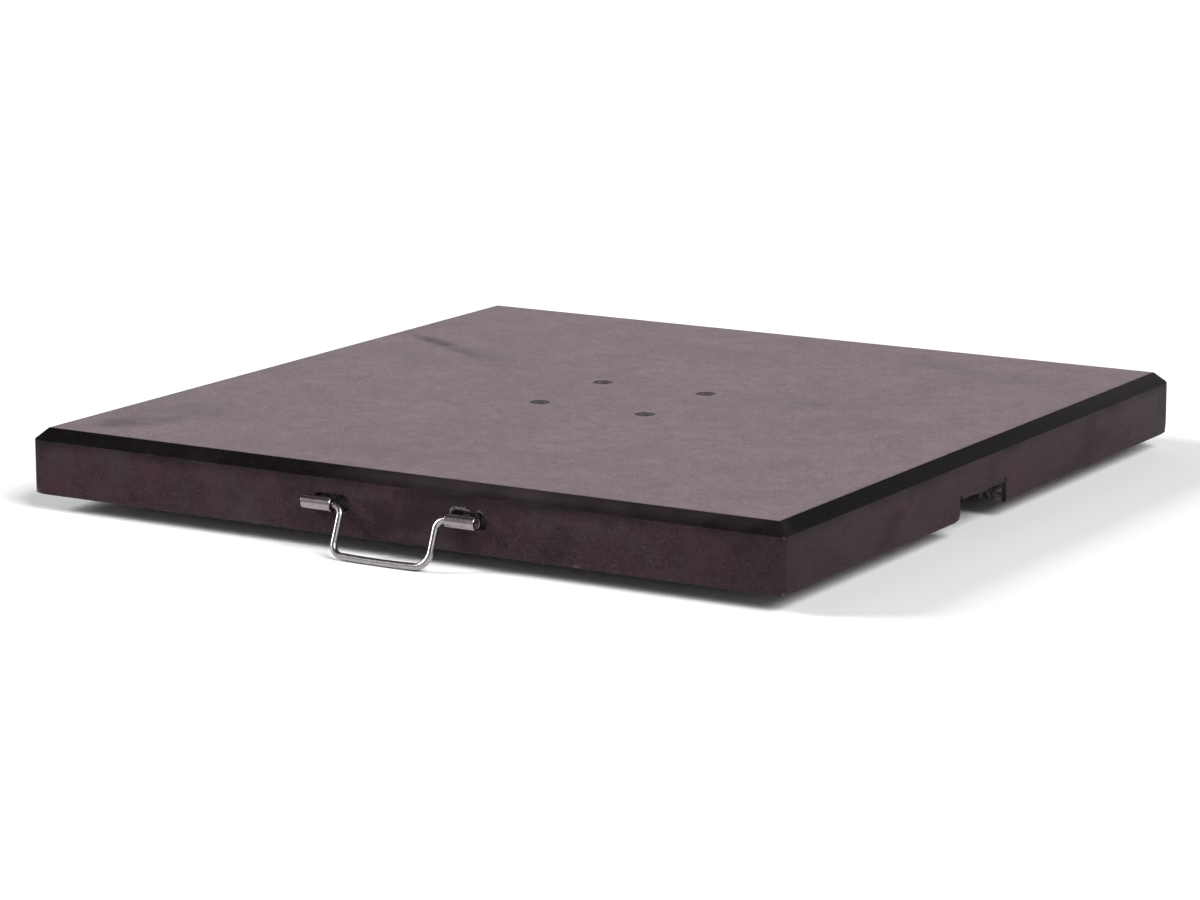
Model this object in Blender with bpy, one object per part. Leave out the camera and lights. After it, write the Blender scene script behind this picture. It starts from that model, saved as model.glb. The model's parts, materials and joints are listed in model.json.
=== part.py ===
"""Square granite ballast plate that holds a parasol's mast, with two swinging wire bails to lift it by.

Metres, +Z up. The origin is on the floor under the middle of the plate. The plate stands on four
rubber feet. The front is at -Y: the bail there is the one that hangs at the front edge. Each bail's
mesh is drawn hanging straight down from its own empty, which lies on the hinge axis.
"""

import math

import bmesh
import bpy
from mathutils import Matrix, Vector

# Stone plate
PLATE_X = 0.750
PLATE_Y = 0.750
PLATE_THICK = 0.0585
TOP_CHAMFER = 0.0105
CORNER_FLAT = 0.0045  # width of the flat ground on each upright corner
UNDER_ARRIS = 0.0012

# Bolt holes for the mast's flange, on a square, bored through and widened from below
BOLT_PITCH = 0.110
BOLT_CENTRE = (0.001, 0.005)
BOLT_HOLE_D = 0.018
BOLT_SINK_D = 0.038
BOLT_SINK_DEPTH = 0.024

# Hand recesses, sawn into the lower edge of the two faces that have no bail
RECESS_WIDTH = 0.086
RECESS_HEIGHT = 0.0187
RECESS_DEPTH = 0.062
RECESS_SHIFT = -0.019  # along Y, from the plate's middle
KERF_WIDTH = 0.0040
KERF_OVERCUT = 0.0040

# Bail: one round rod bent to a flat-bottomed loop, its ends turned outwards into the sleeves
WIRE_D = 0.006
ARM_SPACING = 0.0956
ARM_LENGTH = 0.0415  # hinge axis to the bar's ends
BAR_BOW = 0.0012  # how much lower the middle of the bar is
BOW_RADIUS = 1.0
TOP_BEND = 0.0085
LOW_BENDS = (0.0100, 0.0135)  # left and right
TURNED_IN = 0.0210  # length of rod inside each sleeve
BAIL_CENTRE = 0.006  # along X, from the plate's middle

# Sleeve, stud and resin that hold one end of a bail
ROD_PLAY = 0.0012  # all round the rod
SLEEVE_WALL = 0.0018
SLEEVE_LENGTH = 0.0290
SLEEVE_BREAK = 0.0004  # chamfer on its ends
SLEEVE_GAP = 0.0008  # from the end of the rod's top bend to the sleeve
HINGE_HEIGHT = 0.0277  # above the plate's underside
FACE_GAP = 0.0005  # between the sleeve and the plate's face
POCKET_LENGTH = 0.0390
POCKET_MARGIN = 0.0020  # above and below the sleeve
POCKET_DEPTH = 0.0080
POCKET_SHIFTS = (0.0080, 0.0015)  # left and right, along X, from the sleeve's middle
STUD_D = 0.0080
STUD_IN_STONE = 0.0295  # behind the pocket
RESIN_WALL = 0.0030
RESIN_END = 0.0040  # resin behind the stud

# Rubber foot, with the screw, washer and nylon plug that hold it
FOOT_D = 0.042
FOOT_TOP_D = 0.038
FOOT_HEIGHT = 0.0150
FOOT_INSET = 0.095  # from the plate's edges to the foot's centre
WASHER_ROOM = 0.0010  # all round the washer
FOOT_SINK_DEPTH = 0.0070
SCREW_D = 0.0050
SCREW_LENGTH = 0.0400
SCREW_HEAD_D = 0.0095
SCREW_HEAD_HEIGHT = 0.0032
SCREW_SOCKET_D = 0.0040
SCREW_SOCKET_DEPTH = 0.0018
WASHER_D = 0.0140
WASHER_THICK = 0.0012
PLUG_WALL = 0.0018
PLUG_END = 0.0030  # nylon beyond the screw's tip
PLUG_ROOM = 0.0020  # empty hole beyond the plug

CLEARANCE = 0.0003  # between pieces that touch
THROUGH = 0.0100  # how far a cutter runs past the stone

SLEEVE_BORE = WIRE_D + 2 * ROD_PLAY
SLEEVE_D = SLEEVE_BORE + 2 * SLEEVE_WALL
HINGE_STANDOFF = SLEEVE_D / 2 + FACE_GAP  # from the plate's face to the hinge axis
STUD_LENGTH = HINGE_STANDOFF + POCKET_DEPTH + STUD_IN_STONE  # from the hinge axis
FOOT_SINK_D = WASHER_D + 2 * WASHER_ROOM

STEPS = 32  # sides of a turned piece
ARC_STEPS = 6  # points in each bend of the rod


def plain_material(name, colour, roughness, metallic=0.0):
    """A Principled material with one colour."""
    made = bpy.data.materials.new(name)
    made.use_nodes = True
    shader = made.node_tree.nodes["Principled BSDF"]
    shader.inputs["Base Color"].default_value = (*colour, 1.0)
    shader.inputs["Roughness"].default_value = roughness
    shader.inputs["Metallic"].default_value = metallic
    return made


def add_object(name, bm, surface=None, place=None, smooth=False):
    """Links a bmesh to the scene as a named object, turned and moved by a matrix."""
    mesh = bpy.data.meshes.new(name)
    bmesh.ops.recalc_face_normals(bm, faces=bm.faces)
    bm.to_mesh(mesh)
    bm.free()
    if smooth:
        mesh.shade_smooth()
        mesh.set_sharp_from_angle(angle=math.radians(35))
    made = bpy.data.objects.new(name, mesh)
    bpy.context.scene.collection.objects.link(made)
    if place is not None:
        made.matrix_world = place
    if surface is not None:
        mesh.materials.append(surface)
    return made


def cut_from(target, name, bm, place=None):
    """Adds a hidden cutter to those that one Boolean takes out of the target together."""
    cutter = add_object(name, bm, place=place)
    cutter.hide_render = True
    cutter.display_type = "WIRE"
    modifier = target.modifiers.get("cuts")
    if modifier is None:
        modifier = target.modifiers.new("cuts", "BOOLEAN")
        modifier.operation = "DIFFERENCE"
        modifier.solver = "EXACT"
        modifier.operand_type = "COLLECTION"
        modifier.collection = bpy.data.collections.new(f"{target.name}_cutters")
        bpy.context.scene.collection.children.link(modifier.collection)
    modifier.collection.objects.link(cutter)
    bpy.context.scene.collection.objects.unlink(cutter)


def block(low, high):
    """A box between two corners."""
    bm = bmesh.new()
    bmesh.ops.create_cube(bm, size=1.0)
    for vert in bm.verts:
        vert.co = Vector(low[i] if vert.co[i] < 0 else high[i] for i in range(3))
    return bm


def turned(profile):
    """A closed outline of (radius, height) points spun once about Z. Points on the axis meet."""
    bm = bmesh.new()
    verts = [bm.verts.new((radius, 0.0, height)) for radius, height in profile]
    edges = [bm.edges.new(pair) for pair in zip(verts, verts[1:] + verts[:1])]
    bmesh.ops.spin(
        bm,
        geom=verts + edges,
        axis=(0, 0, 1),
        cent=(0, 0, 0),
        angle=math.tau,
        steps=STEPS,
        use_merge=True,
    )
    bmesh.ops.remove_doubles(bm, verts=bm.verts, dist=1e-6)
    bmesh.ops.dissolve_degenerate(bm, edges=bm.edges, dist=1e-7)
    return bm


def stadium(length, height, depth):
    """A slot with round ends, length along X and height along Z, extruded along +Y."""
    bm = bmesh.new()
    half = (length - height) / 2
    verts = []
    for side in (1, -1):
        for step in range(STEPS // 2 + 1):
            angle = -math.pi / 2 + math.pi * step / (STEPS // 2)
            x = side * (half + height / 2 * math.cos(angle))
            verts.append(bm.verts.new((x, 0.0, side * height / 2 * math.sin(angle))))
    face = bm.faces.new(verts)
    swept = bmesh.ops.extrude_face_region(bm, geom=[face])["geom"]
    moved = [item for item in swept if isinstance(item, bmesh.types.BMVert)]
    bmesh.ops.translate(bm, verts=moved, vec=(0.0, depth, 0.0))
    return bm


def saw(bm, point, normal):
    """Takes off everything on the far side of a plane, and closes the cut."""
    sawn = bmesh.ops.bisect_plane(
        bm,
        geom=bm.verts[:] + bm.edges[:] + bm.faces[:],
        plane_co=point,
        plane_no=normal,
        clear_outer=True,
    )
    edges = [item for item in sawn["geom_cut"] if isinstance(item, bmesh.types.BMEdge)]
    bmesh.ops.edgeloop_fill(bm, edges=edges)


def rounded_path(corners, radii):
    """The points of a line through the corners, with an arc of the given radius at each inner one."""
    points = [corners[0]]
    for before, corner, after, radius in zip(corners, corners[1:], corners[2:], radii):
        back = (before - corner).normalized()
        ahead = (after - corner).normalized()
        half = back.angle(ahead) / 2
        centre = corner + (back + ahead).normalized() * (radius / math.sin(half))
        first = (corner + back * (radius / math.tan(half)) - centre).normalized()
        last = (corner + ahead * (radius / math.tan(half)) - centre).normalized()
        for step in range(ARC_STEPS + 1):
            points.append(centre + first.slerp(last, step / ARC_STEPS) * radius)
    return points + [corners[-1]]


def clear_scene():
    for item in list(bpy.data.objects):
        bpy.data.objects.remove(item)


def make_plate(stone):
    """The sawn plate: a block with its top edges, upright corners and lower arrises cut off."""
    half_x, half_y = PLATE_X / 2, PLATE_Y / 2
    bm = block((-half_x, -half_y, 0.0), (half_x, half_y, PLATE_THICK))
    root_two = math.sqrt(2.0)
    for x, y in ((1, 0), (-1, 0), (0, 1), (0, -1)):
        edge = Vector((x * half_x, y * half_y, 0.0))
        saw(bm, edge + Vector((0, 0, PLATE_THICK - TOP_CHAMFER)), Vector((x, y, 1)))
        saw(bm, edge + Vector((0, 0, UNDER_ARRIS)), Vector((x, y, -1)))
    for x in (1, -1):
        for y in (1, -1):
            corner = Vector((x * half_x, y * half_y, 0.0))
            outward = Vector((x, y, 0)) / root_two
            saw(bm, corner - outward * (CORNER_FLAT / 2), outward)
    return add_object("granite_slab", bm, stone, Matrix.Translation((0, 0, FOOT_HEIGHT)))


def bore_for_bolts(plate):
    """Four stepped holes: the bolt's own hole, and a wider one below for its nut and washer."""
    for x in (-1, 1):
        for y in (-1, 1):
            bm = turned(
                [
                    (0.0, -THROUGH),
                    (BOLT_SINK_D / 2, -THROUGH),
                    (BOLT_SINK_D / 2, BOLT_SINK_DEPTH),
                    (BOLT_HOLE_D / 2, BOLT_SINK_DEPTH),
                    (BOLT_HOLE_D / 2, PLATE_THICK + THROUGH),
                    (0.0, PLATE_THICK + THROUGH),
                ]
            )
            at = (
                BOLT_CENTRE[0] + x * BOLT_PITCH / 2,
                BOLT_CENTRE[1] + y * BOLT_PITCH / 2,
                FOOT_HEIGHT,
            )
            cut_from(plate, f"bolt_cutter_{x}_{y}", bm, Matrix.Translation(at))


def cut_hand_recess(plate, side):
    """One recess in a side face, open below. The saw ran on a little above it at both its ends."""
    inner = PLATE_X / 2 - RECESS_DEPTH
    outer = PLATE_X / 2 + THROUGH
    low, high = RECESS_SHIFT - RECESS_WIDTH / 2, RECESS_SHIFT + RECESS_WIDTH / 2
    below = FOOT_HEIGHT - THROUGH
    ceiling = FOOT_HEIGHT + RECESS_HEIGHT
    turn = Matrix.Diagonal((side, 1, 1, 1))
    cut_from(plate, f"recess_cutter_{side}", block((inner, low, below), (outer, high, ceiling)), turn)
    for name, edge, inwards in (("low", low, 1), ("high", high, -1)):
        y = sorted((edge - inwards * KERF_WIDTH / 2, edge + inwards * KERF_WIDTH / 2))
        kerf = block(
            (inner - KERF_OVERCUT, y[0], below - THROUGH), (outer + THROUGH, y[1], ceiling + KERF_OVERCUT)
        )
        cut_from(plate, f"kerf_cutter_{name}_{side}", kerf, turn)


def make_foot(plate, name, at, rubber, steel, nylon):
    """A turned rubber foot. Its screw goes up through it into a nylon plug set in the stone."""
    place = Matrix.Translation((at[0], at[1], 0.0))
    screw_hole = SCREW_D / 2 + CLEARANCE
    foot = turned(
        [
            (FOOT_SINK_D / 2, 0.0),
            (FOOT_D / 2, 0.0),
            (FOOT_D / 2, 0.3 * FOOT_HEIGHT),
            (FOOT_TOP_D / 2, FOOT_HEIGHT - CLEARANCE),
            (screw_hole, FOOT_HEIGHT - CLEARANCE),
            (screw_hole, FOOT_SINK_DEPTH),
            (FOOT_SINK_D / 2, FOOT_SINK_DEPTH),
        ]
    )
    add_object(f"foot_{name}", foot, rubber, place, smooth=True)

    washer_top = FOOT_SINK_DEPTH - CLEARANCE
    washer_low = washer_top - WASHER_THICK
    washer = turned(
        [
            (screw_hole, washer_low),
            (WASHER_D / 2, washer_low),
            (WASHER_D / 2, washer_top),
            (screw_hole, washer_top),
        ]
    )
    add_object(f"foot_washer_{name}", washer, steel, place, smooth=True)

    seat = washer_low - CLEARANCE
    head_low = seat - SCREW_HEAD_HEIGHT
    tip = seat + SCREW_LENGTH
    screw = turned(
        [
            (0.0, head_low + SCREW_SOCKET_DEPTH),
            (SCREW_SOCKET_D / 2, head_low + SCREW_SOCKET_DEPTH),
            (SCREW_SOCKET_D / 2, head_low),
            (0.8 * SCREW_HEAD_D / 2, head_low),
            (SCREW_HEAD_D / 2, head_low + 0.4 * SCREW_HEAD_HEIGHT),
            (SCREW_HEAD_D / 2, seat),
            (SCREW_D / 2, seat),
            (SCREW_D / 2, tip - SCREW_D),
            (0.0, tip),
        ]
    )
    add_object(f"foot_screw_{name}", screw, steel, place, smooth=True)

    plug_low = FOOT_HEIGHT + UNDER_ARRIS
    plug_top = tip + PLUG_END
    plug = turned(
        [
            (screw_hole, plug_low),
            (screw_hole + PLUG_WALL, plug_low),
            (screw_hole + PLUG_WALL, plug_top),
            (0.0, plug_top),
            (0.0, tip + CLEARANCE),
            (screw_hole, tip + CLEARANCE),
        ]
    )
    add_object(f"foot_plug_{name}", plug, nylon, place, smooth=True)

    hole_radius = screw_hole + PLUG_WALL + CLEARANCE
    hole = turned(
        [
            (0.0, FOOT_HEIGHT - THROUGH),
            (hole_radius, FOOT_HEIGHT - THROUGH),
            (hole_radius, plug_top + PLUG_ROOM),
            (0.0, plug_top + PLUG_ROOM),
        ]
    )
    cut_from(plate, f"plug_cutter_{name}", hole, place)


def make_feet(plate, rubber, steel, nylon):
    """One foot near each corner."""
    for along, y in (("front", -1), ("back", 1)):
        for across, x in (("left", -1), ("right", 1)):
            at = (x * (PLATE_X / 2 - FOOT_INSET), y * (PLATE_Y / 2 - FOOT_INSET))
            make_foot(plate, f"{along}_{across}", at, rubber, steel, nylon)


def make_bail(name, pivot, steel):
    """The bent rod, hanging down from its pivot along -Z, with its ends along X."""
    half = ARM_SPACING / 2
    tip = half + TOP_BEND + SLEEVE_GAP + TURNED_IN
    corners = [
        Vector((-tip, 0, 0)),
        Vector((-half, 0, 0)),
        Vector((-half, 0, -ARM_LENGTH)),
        Vector((0, 0, -ARM_LENGTH - BAR_BOW)),
        Vector((half, 0, -ARM_LENGTH)),
        Vector((half, 0, 0)),
        Vector((tip, 0, 0)),
    ]
    radii = [TOP_BEND, LOW_BENDS[0], BOW_RADIUS, LOW_BENDS[1], TOP_BEND]
    points = rounded_path(corners, radii)
    rod = bpy.data.curves.new(name, "CURVE")
    rod.dimensions = "3D"
    rod.bevel_depth = WIRE_D / 2
    rod.bevel_resolution = 4
    rod.use_fill_caps = True
    spline = rod.splines.new("POLY")
    spline.points.add(len(points) - 1)
    for target, point in zip(spline.points, points):
        target.co = (*point, 1.0)
    rod.materials.append(steel)
    bail = bpy.data.objects.new(name, rod)
    bpy.context.scene.collection.objects.link(bail)
    bail.parent = pivot


def make_sleeve_set(plate, name, centre, pocket_shift, turn, steel, resin):
    """A sleeve on the hinge axis, the stud welded to its back, and the resin round the stud."""
    place = turn @ Matrix.Translation(centre)
    along_x = Matrix.Rotation(math.pi / 2, 4, "Y")
    into_stone = Matrix.Rotation(-math.pi / 2, 4, "X")
    outer, inner, end = SLEEVE_D / 2, SLEEVE_BORE / 2, SLEEVE_LENGTH / 2
    sleeve = turned(
        [
            (inner, -end),
            (outer - SLEEVE_BREAK, -end),
            (outer, -end + SLEEVE_BREAK),
            (outer, end - SLEEVE_BREAK),
            (outer - SLEEVE_BREAK, end),
            (inner, end),
        ]
    )
    add_object(f"{name}_sleeve", sleeve, steel, place @ along_x, smooth=True)

    stud = turned([(0.0, 0.0), (STUD_D / 2, 0.0), (STUD_D / 2, STUD_LENGTH), (0.0, STUD_LENGTH)])
    stud_object = add_object(f"{name}_stud", stud, steel, place @ into_stone, smooth=True)
    cope_radius = outer + CLEARANCE
    cope = turned([(0.0, -end), (cope_radius, -end), (cope_radius, end), (0.0, end)])
    cut_from(stud_object, f"{name}_cope_cutter", cope, place @ along_x)

    mouth = HINGE_STANDOFF + POCKET_DEPTH + CLEARANCE
    bore = STUD_D / 2 + CLEARANCE
    back = STUD_LENGTH + RESIN_END
    plug = turned(
        [
            (bore, mouth),
            (bore + RESIN_WALL, mouth),
            (bore + RESIN_WALL, back),
            (0.0, back),
            (0.0, STUD_LENGTH + CLEARANCE),
            (bore, STUD_LENGTH + CLEARANCE),
        ]
    )
    add_object(f"{name}_resin", plug, resin, place @ into_stone, smooth=True)

    hole_radius = bore + RESIN_WALL + CLEARANCE
    start, stop = HINGE_STANDOFF + POCKET_DEPTH / 2, back + CLEARANCE
    hole = turned([(0.0, start), (hole_radius, start), (hole_radius, stop), (0.0, stop)])
    cut_from(plate, f"{name}_hole_cutter", hole, place @ into_stone)

    pocket = stadium(POCKET_LENGTH, SLEEVE_D + 2 * POCKET_MARGIN, THROUGH + POCKET_DEPTH)
    shift = Matrix.Translation((pocket_shift, HINGE_STANDOFF - THROUGH, 0.0))
    cut_from(plate, f"{name}_pocket_cutter", pocket, place @ shift)


def make_handle(plate, side, turn, steel, resin):
    """A bail in its two sleeves. It leans out until its bar rests on the floor, or hangs plumb."""
    hinge_z = FOOT_HEIGHT + HINGE_HEIGHT
    hinge = Vector((BAIL_CENTRE, -PLATE_Y / 2 - HINGE_STANDOFF, hinge_z))
    reach = ARM_LENGTH + BAR_BOW
    lean = math.acos(min(1.0, (hinge_z - WIRE_D / 2 - CLEARANCE) / reach))
    pivot = bpy.data.objects.new(f"{side}_bail_pivot", None)
    bpy.context.scene.collection.objects.link(pivot)
    pivot.matrix_world = turn @ Matrix.Translation(hinge) @ Matrix.Rotation(-lean, 4, "X")
    make_bail(f"{side}_bail", pivot, steel)
    offset = ARM_SPACING / 2 + TOP_BEND + SLEEVE_GAP + SLEEVE_LENGTH / 2
    for across, sign, shift in zip(("left", "right"), (-1, 1), POCKET_SHIFTS):
        centre = hinge + Vector((sign * offset, 0, 0))
        make_sleeve_set(plate, f"{side}_{across}", centre, shift, turn, steel, resin)


def main():
    clear_scene()
    stone = plain_material("granite", (0.060, 0.045, 0.048), 0.55)
    steel = plain_material("stainless_steel", (0.62, 0.60, 0.59), 0.28, metallic=1.0)
    resin = plain_material("anchor_resin", (0.30, 0.29, 0.27), 0.70)
    rubber = plain_material("black_rubber", (0.022, 0.022, 0.022), 0.80)
    nylon = plain_material("grey_nylon", (0.42, 0.42, 0.43), 0.50)
    plate = make_plate(stone)
    bore_for_bolts(plate)
    for side in (1, -1):
        cut_hand_recess(plate, side)
    make_feet(plate, rubber, steel, nylon)
    make_handle(plate, "front", Matrix.Identity(4), steel, resin)
    make_handle(plate, "back", Matrix.Rotation(math.pi, 4, "Z"), steel, resin)


main()
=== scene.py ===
"""Looks for a square granite ballast plate that holds a parasol's mast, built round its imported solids.

Metres, +Z up, the front at -Y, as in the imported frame. The sections follow the object as it is put
together: the sawn stone, the holes cut in it, the handles set into its edges, the feet screwed under it.
"""

import json
import math

import bmesh
import bpy
import numpy as np
from mathutils import Euler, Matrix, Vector

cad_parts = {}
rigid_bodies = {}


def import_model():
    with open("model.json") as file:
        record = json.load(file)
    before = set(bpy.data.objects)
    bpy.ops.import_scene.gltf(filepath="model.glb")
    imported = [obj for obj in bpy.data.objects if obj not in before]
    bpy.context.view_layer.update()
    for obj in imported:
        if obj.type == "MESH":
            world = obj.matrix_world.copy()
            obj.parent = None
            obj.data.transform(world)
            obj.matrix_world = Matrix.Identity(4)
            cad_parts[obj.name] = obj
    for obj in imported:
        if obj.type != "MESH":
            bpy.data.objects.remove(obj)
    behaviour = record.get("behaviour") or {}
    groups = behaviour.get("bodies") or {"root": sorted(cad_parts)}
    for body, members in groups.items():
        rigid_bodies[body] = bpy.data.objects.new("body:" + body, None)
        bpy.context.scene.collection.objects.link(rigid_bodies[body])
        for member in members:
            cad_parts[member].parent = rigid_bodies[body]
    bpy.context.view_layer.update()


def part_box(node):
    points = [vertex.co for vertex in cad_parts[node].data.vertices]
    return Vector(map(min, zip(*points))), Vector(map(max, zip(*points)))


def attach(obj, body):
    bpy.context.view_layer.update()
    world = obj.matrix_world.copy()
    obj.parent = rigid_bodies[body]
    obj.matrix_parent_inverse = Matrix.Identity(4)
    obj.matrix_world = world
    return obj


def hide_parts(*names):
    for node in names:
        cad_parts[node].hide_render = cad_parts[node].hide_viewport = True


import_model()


# ---- The stone plate ----------------------------------------------------------------------------
# A block of fine-grained dark granite, sawn to size. Its top is honed and its top edges are ground
# off at 45 degrees and polished. The sides are rubbed to a satin, and the underside is as sawn.

TOP_CHAMFER = 0.0105
CORNER_FLAT = 0.0045
UNDER_ARRIS = 0.0012
EDGE_WEAR = 0.00035  # half the width over which a sharp edge is worn round
CORNER_RUN = 0.0024  # length of side at each corner that takes the corner's own close points
ALONG_SIDE = 261
ROUND_CORNER = 16
SEAT_OF_TOP = 0.0195  # inside the chamfer, where the close rows end and one flat face takes over
SEAT_OF_BASE = 0.0190
WIDEST_ROW = 0.0052
CLOSE_ROWS = 0.001 * np.array([0.0, 0.2, 0.4, 0.7, 1.1, 1.7, 2.6, 3.8])
HONED, POLISHED, SATIN, SAWN, BROKEN, DRILLED = range(6)
STONE_SHARP = 38.0  # degrees at which an edge of the stone shades as sharp

slab_low, slab_high = (np.array(corner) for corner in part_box("granite_slab"))
HALF_SIDE = slab_high[0]
BASE = slab_low[2]
TOP = slab_high[2]


def lattice_noise(points, size, seed):
    """Smooth noise from -1 to 1. Random numbers sit on a cubic lattice with the given cell size, and
    each point blends the eight round it by the curve 3t^2 - 2t^3 along each axis."""
    table = np.random.default_rng(seed).uniform(-1.0, 1.0, (32, 32, 32))
    scaled = np.asarray(points) / size
    cell = np.floor(scaled).astype(int)
    share = scaled - cell
    share = share * share * (3.0 - 2.0 * share)
    total = np.zeros(scaled.shape[:-1])
    for corner in np.ndindex(2, 2, 2):
        weight = np.prod(np.where(corner, share, 1.0 - share), axis=-1)
        i, j, k = np.moveaxis((cell + corner) % 32, -1, 0)
        total += weight * table[i, j, k]
    return total


def lengths_along(corners):
    """Distance from the first corner to each corner, along the straight lines between them."""
    steps = np.linalg.norm(np.diff(corners, axis=0), axis=1)
    return np.concatenate([[0.0], np.cumsum(steps)])


def worn_line(corners, stations, wear):
    """Points at the given distances along a line through the corners. Each is the mean of the line
    over the wear on either side of it, which rounds the corners and leaves straight runs straight."""
    corners = np.asarray(corners, float)
    lengths = lengths_along(corners)
    window = stations[:, None] + np.linspace(-wear, wear, 9)
    columns = [np.interp(window, lengths, column).mean(axis=1) for column in corners.T]
    return np.stack(columns, axis=-1)


def surface_mesh(name, sheets, finishes=(), sharp=35.0, uvs=None, caps=()):
    """A mesh of sheets, each a (rows, columns, 3) array of points and the number of its finish, or an
    array of a number per row of faces. Neighbouring points make quads, sheets that meet are joined,
    caps are extra faces given by point numbers, and every face is turned outwards."""
    points = np.concatenate([grid.reshape(-1, 3) for grid, _ in sheets])
    quads = []
    numbers = []
    start = 0
    for grid, number in sheets:
        rows, columns = grid.shape[:2]
        index = start + np.arange(rows * columns).reshape(rows, columns)
        corners = [index[:-1, :-1], index[:-1, 1:], index[1:, 1:], index[1:, :-1]]
        quads.append(np.stack(corners, axis=-1).reshape(-1, 4))
        per_row = np.broadcast_to(number, rows - 1)
        numbers.append(np.repeat(per_row, columns - 1))
        start += rows * columns
    faces = np.concatenate(quads).tolist() + [list(loop) for loop, _ in caps]
    numbers = np.concatenate(numbers + [[number for _, number in caps]]).astype(np.int32)
    mesh = bpy.data.meshes.new(name)
    mesh.from_pydata(points.tolist(), [], faces)
    for finish in finishes:
        mesh.materials.append(finish)
    mesh.polygons.foreach_set("material_index", numbers)
    if uvs is not None:
        flat = np.concatenate([uv.reshape(-1, 2) for uv in uvs])
        at_loop = np.zeros(len(mesh.loops), np.int32)
        mesh.loops.foreach_get("vertex_index", at_loop)
        layer = mesh.uv_layers.new(name="UVMap")
        layer.data.foreach_set("uv", flat[at_loop].astype(np.float32).ravel())
    merged = bmesh.new()
    merged.from_mesh(mesh)
    bmesh.ops.remove_doubles(merged, verts=merged.verts, dist=1e-6)
    loose = [edge for edge in merged.edges if not edge.link_faces]
    bmesh.ops.delete(merged, geom=loose, context="EDGES")
    bmesh.ops.recalc_face_normals(merged, faces=merged.faces)
    merged.to_mesh(mesh)
    merged.free()
    mesh.shade_smooth()
    mesh.set_sharp_from_angle(angle=math.radians(sharp))
    return mesh


def add_piece(mesh, body, slot, *nodes):
    """Links a finished mesh as a piece that rides on a body and stands for its CAD nodes."""
    piece = bpy.data.objects.new(mesh.name, mesh)
    bpy.context.scene.collection.objects.link(piece)
    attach(piece, body)
    if nodes:
        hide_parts(*nodes)
    return piece


def plan_points(inset, side, run, turn):
    """Points of the plate's plan at an inset from its sides. On a side, run goes from -1 to 1 along
    it. At a corner, turn goes from 0 to 1 along the end of one side, the corner flat and the start
    of the next, each point the mean of that line over the wear on either side of it."""
    straight = np.minimum(HALF_SIDE - inset, HALF_SIDE - CORNER_FLAT / math.sqrt(2.0) + inset)
    flat = math.sqrt(2.0) * (HALF_SIDE - inset - straight)
    station = turn * (2.0 * CORNER_RUN + flat)
    out = np.zeros(inset.shape)
    along = np.zeros(inset.shape)
    for shift in np.linspace(-EDGE_WEAR, EDGE_WEAR, 9):
        past_side = station + shift - CORNER_RUN
        on_flat = np.clip(past_side, 0.0, flat) / math.sqrt(2.0)
        out += (HALF_SIDE - inset - on_flat - np.maximum(past_side - flat, 0.0)) / 9.0
        along += (straight + np.minimum(past_side, 0.0) + on_flat) / 9.0
    on_run = turn < 0.0
    out = np.where(on_run, HALF_SIDE - inset, out)
    along = np.where(on_run, run * (straight - CORNER_RUN), along)
    angle = side * math.pi / 2.0
    x = out * np.sin(angle) + along * np.cos(angle)
    y = -out * np.cos(angle) + along * np.sin(angle)
    return np.stack([x, y], axis=-1)


# The section through one edge, as (inset, height), from the flat of the top round to the underside.
edge_section = np.array(
    [
        (TOP_CHAMFER + SEAT_OF_TOP, TOP),
        (TOP_CHAMFER, TOP),
        (0.0, TOP - TOP_CHAMFER),
        (0.0, BASE + UNDER_ARRIS),
        (UNDER_ARRIS, BASE),
        (UNDER_ARRIS + SEAT_OF_BASE, BASE),
    ]
)
edge_lengths = lengths_along(edge_section)
close = np.concatenate([station + side * CLOSE_ROWS for station in edge_lengths[1:5] for side in (-1, 1)])
broad = np.linspace(0.0, edge_lengths[-1], int(edge_lengths[-1] / WIDEST_ROW) + 1)
far_from_close = np.abs(broad[:, None] - close[None, :]).min(axis=1) > 0.4 * WIDEST_ROW
ends = np.array([0.0, edge_lengths[-1]])
stations = np.unique(np.round(np.concatenate([close, broad[far_from_close], ends]), 6))
stations = stations[np.concatenate([[True], np.diff(stations) > 0.00015])]
section = worn_line(edge_section, stations, EDGE_WEAR)
section[0] = edge_section[0]
section[-1] = edge_section[-1]

# Columns go once round the plate from the left end of the front, and the last meets the first.
run_columns = np.linspace(-1.0, 1.0, ALONG_SIDE)
turn_columns = np.linspace(0.0, 1.0, ROUND_CORNER + 1)[1:-1]
one_run = np.concatenate([run_columns, np.zeros(len(turn_columns))])
one_turn = np.concatenate([np.full(ALONG_SIDE, -1.0), turn_columns])
run = np.append(np.tile(one_run, 4), -1.0)
turn = np.append(np.tile(one_turn, 4), -1.0)
side = np.append(np.repeat(np.arange(4), len(one_run)), 0)
inset, run = np.broadcast_arrays(section[:, :1], run[None, :])
sharp_skin = np.concatenate(
    [plan_points(inset, side, run, turn), np.broadcast_to(section[:, 1:], inset.shape)[..., None]], axis=-1
)

# Wear: fine crumbling all along the edges, small shells, and a few knocks at the corners. Each takes
# stone away towards the inside of the edge, less and less away from it.
CRUMBLE = 0.00016
SHELL = 0.0011
SIDE_WAVE = 0.00006
SIDE_WAVE_REACH = 0.004  # inset up to which the stone waves
# Edge corner, the way into the stone as (inset, height), and how badly that edge is worn.
WORN_EDGES = (
    (1, (0.38, -0.92), 0.35),
    (2, (0.92, -0.38), 0.45),
    (3, (0.92, 0.38), 1.0),
    (4, (0.38, 0.92), 1.0),
)
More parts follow.
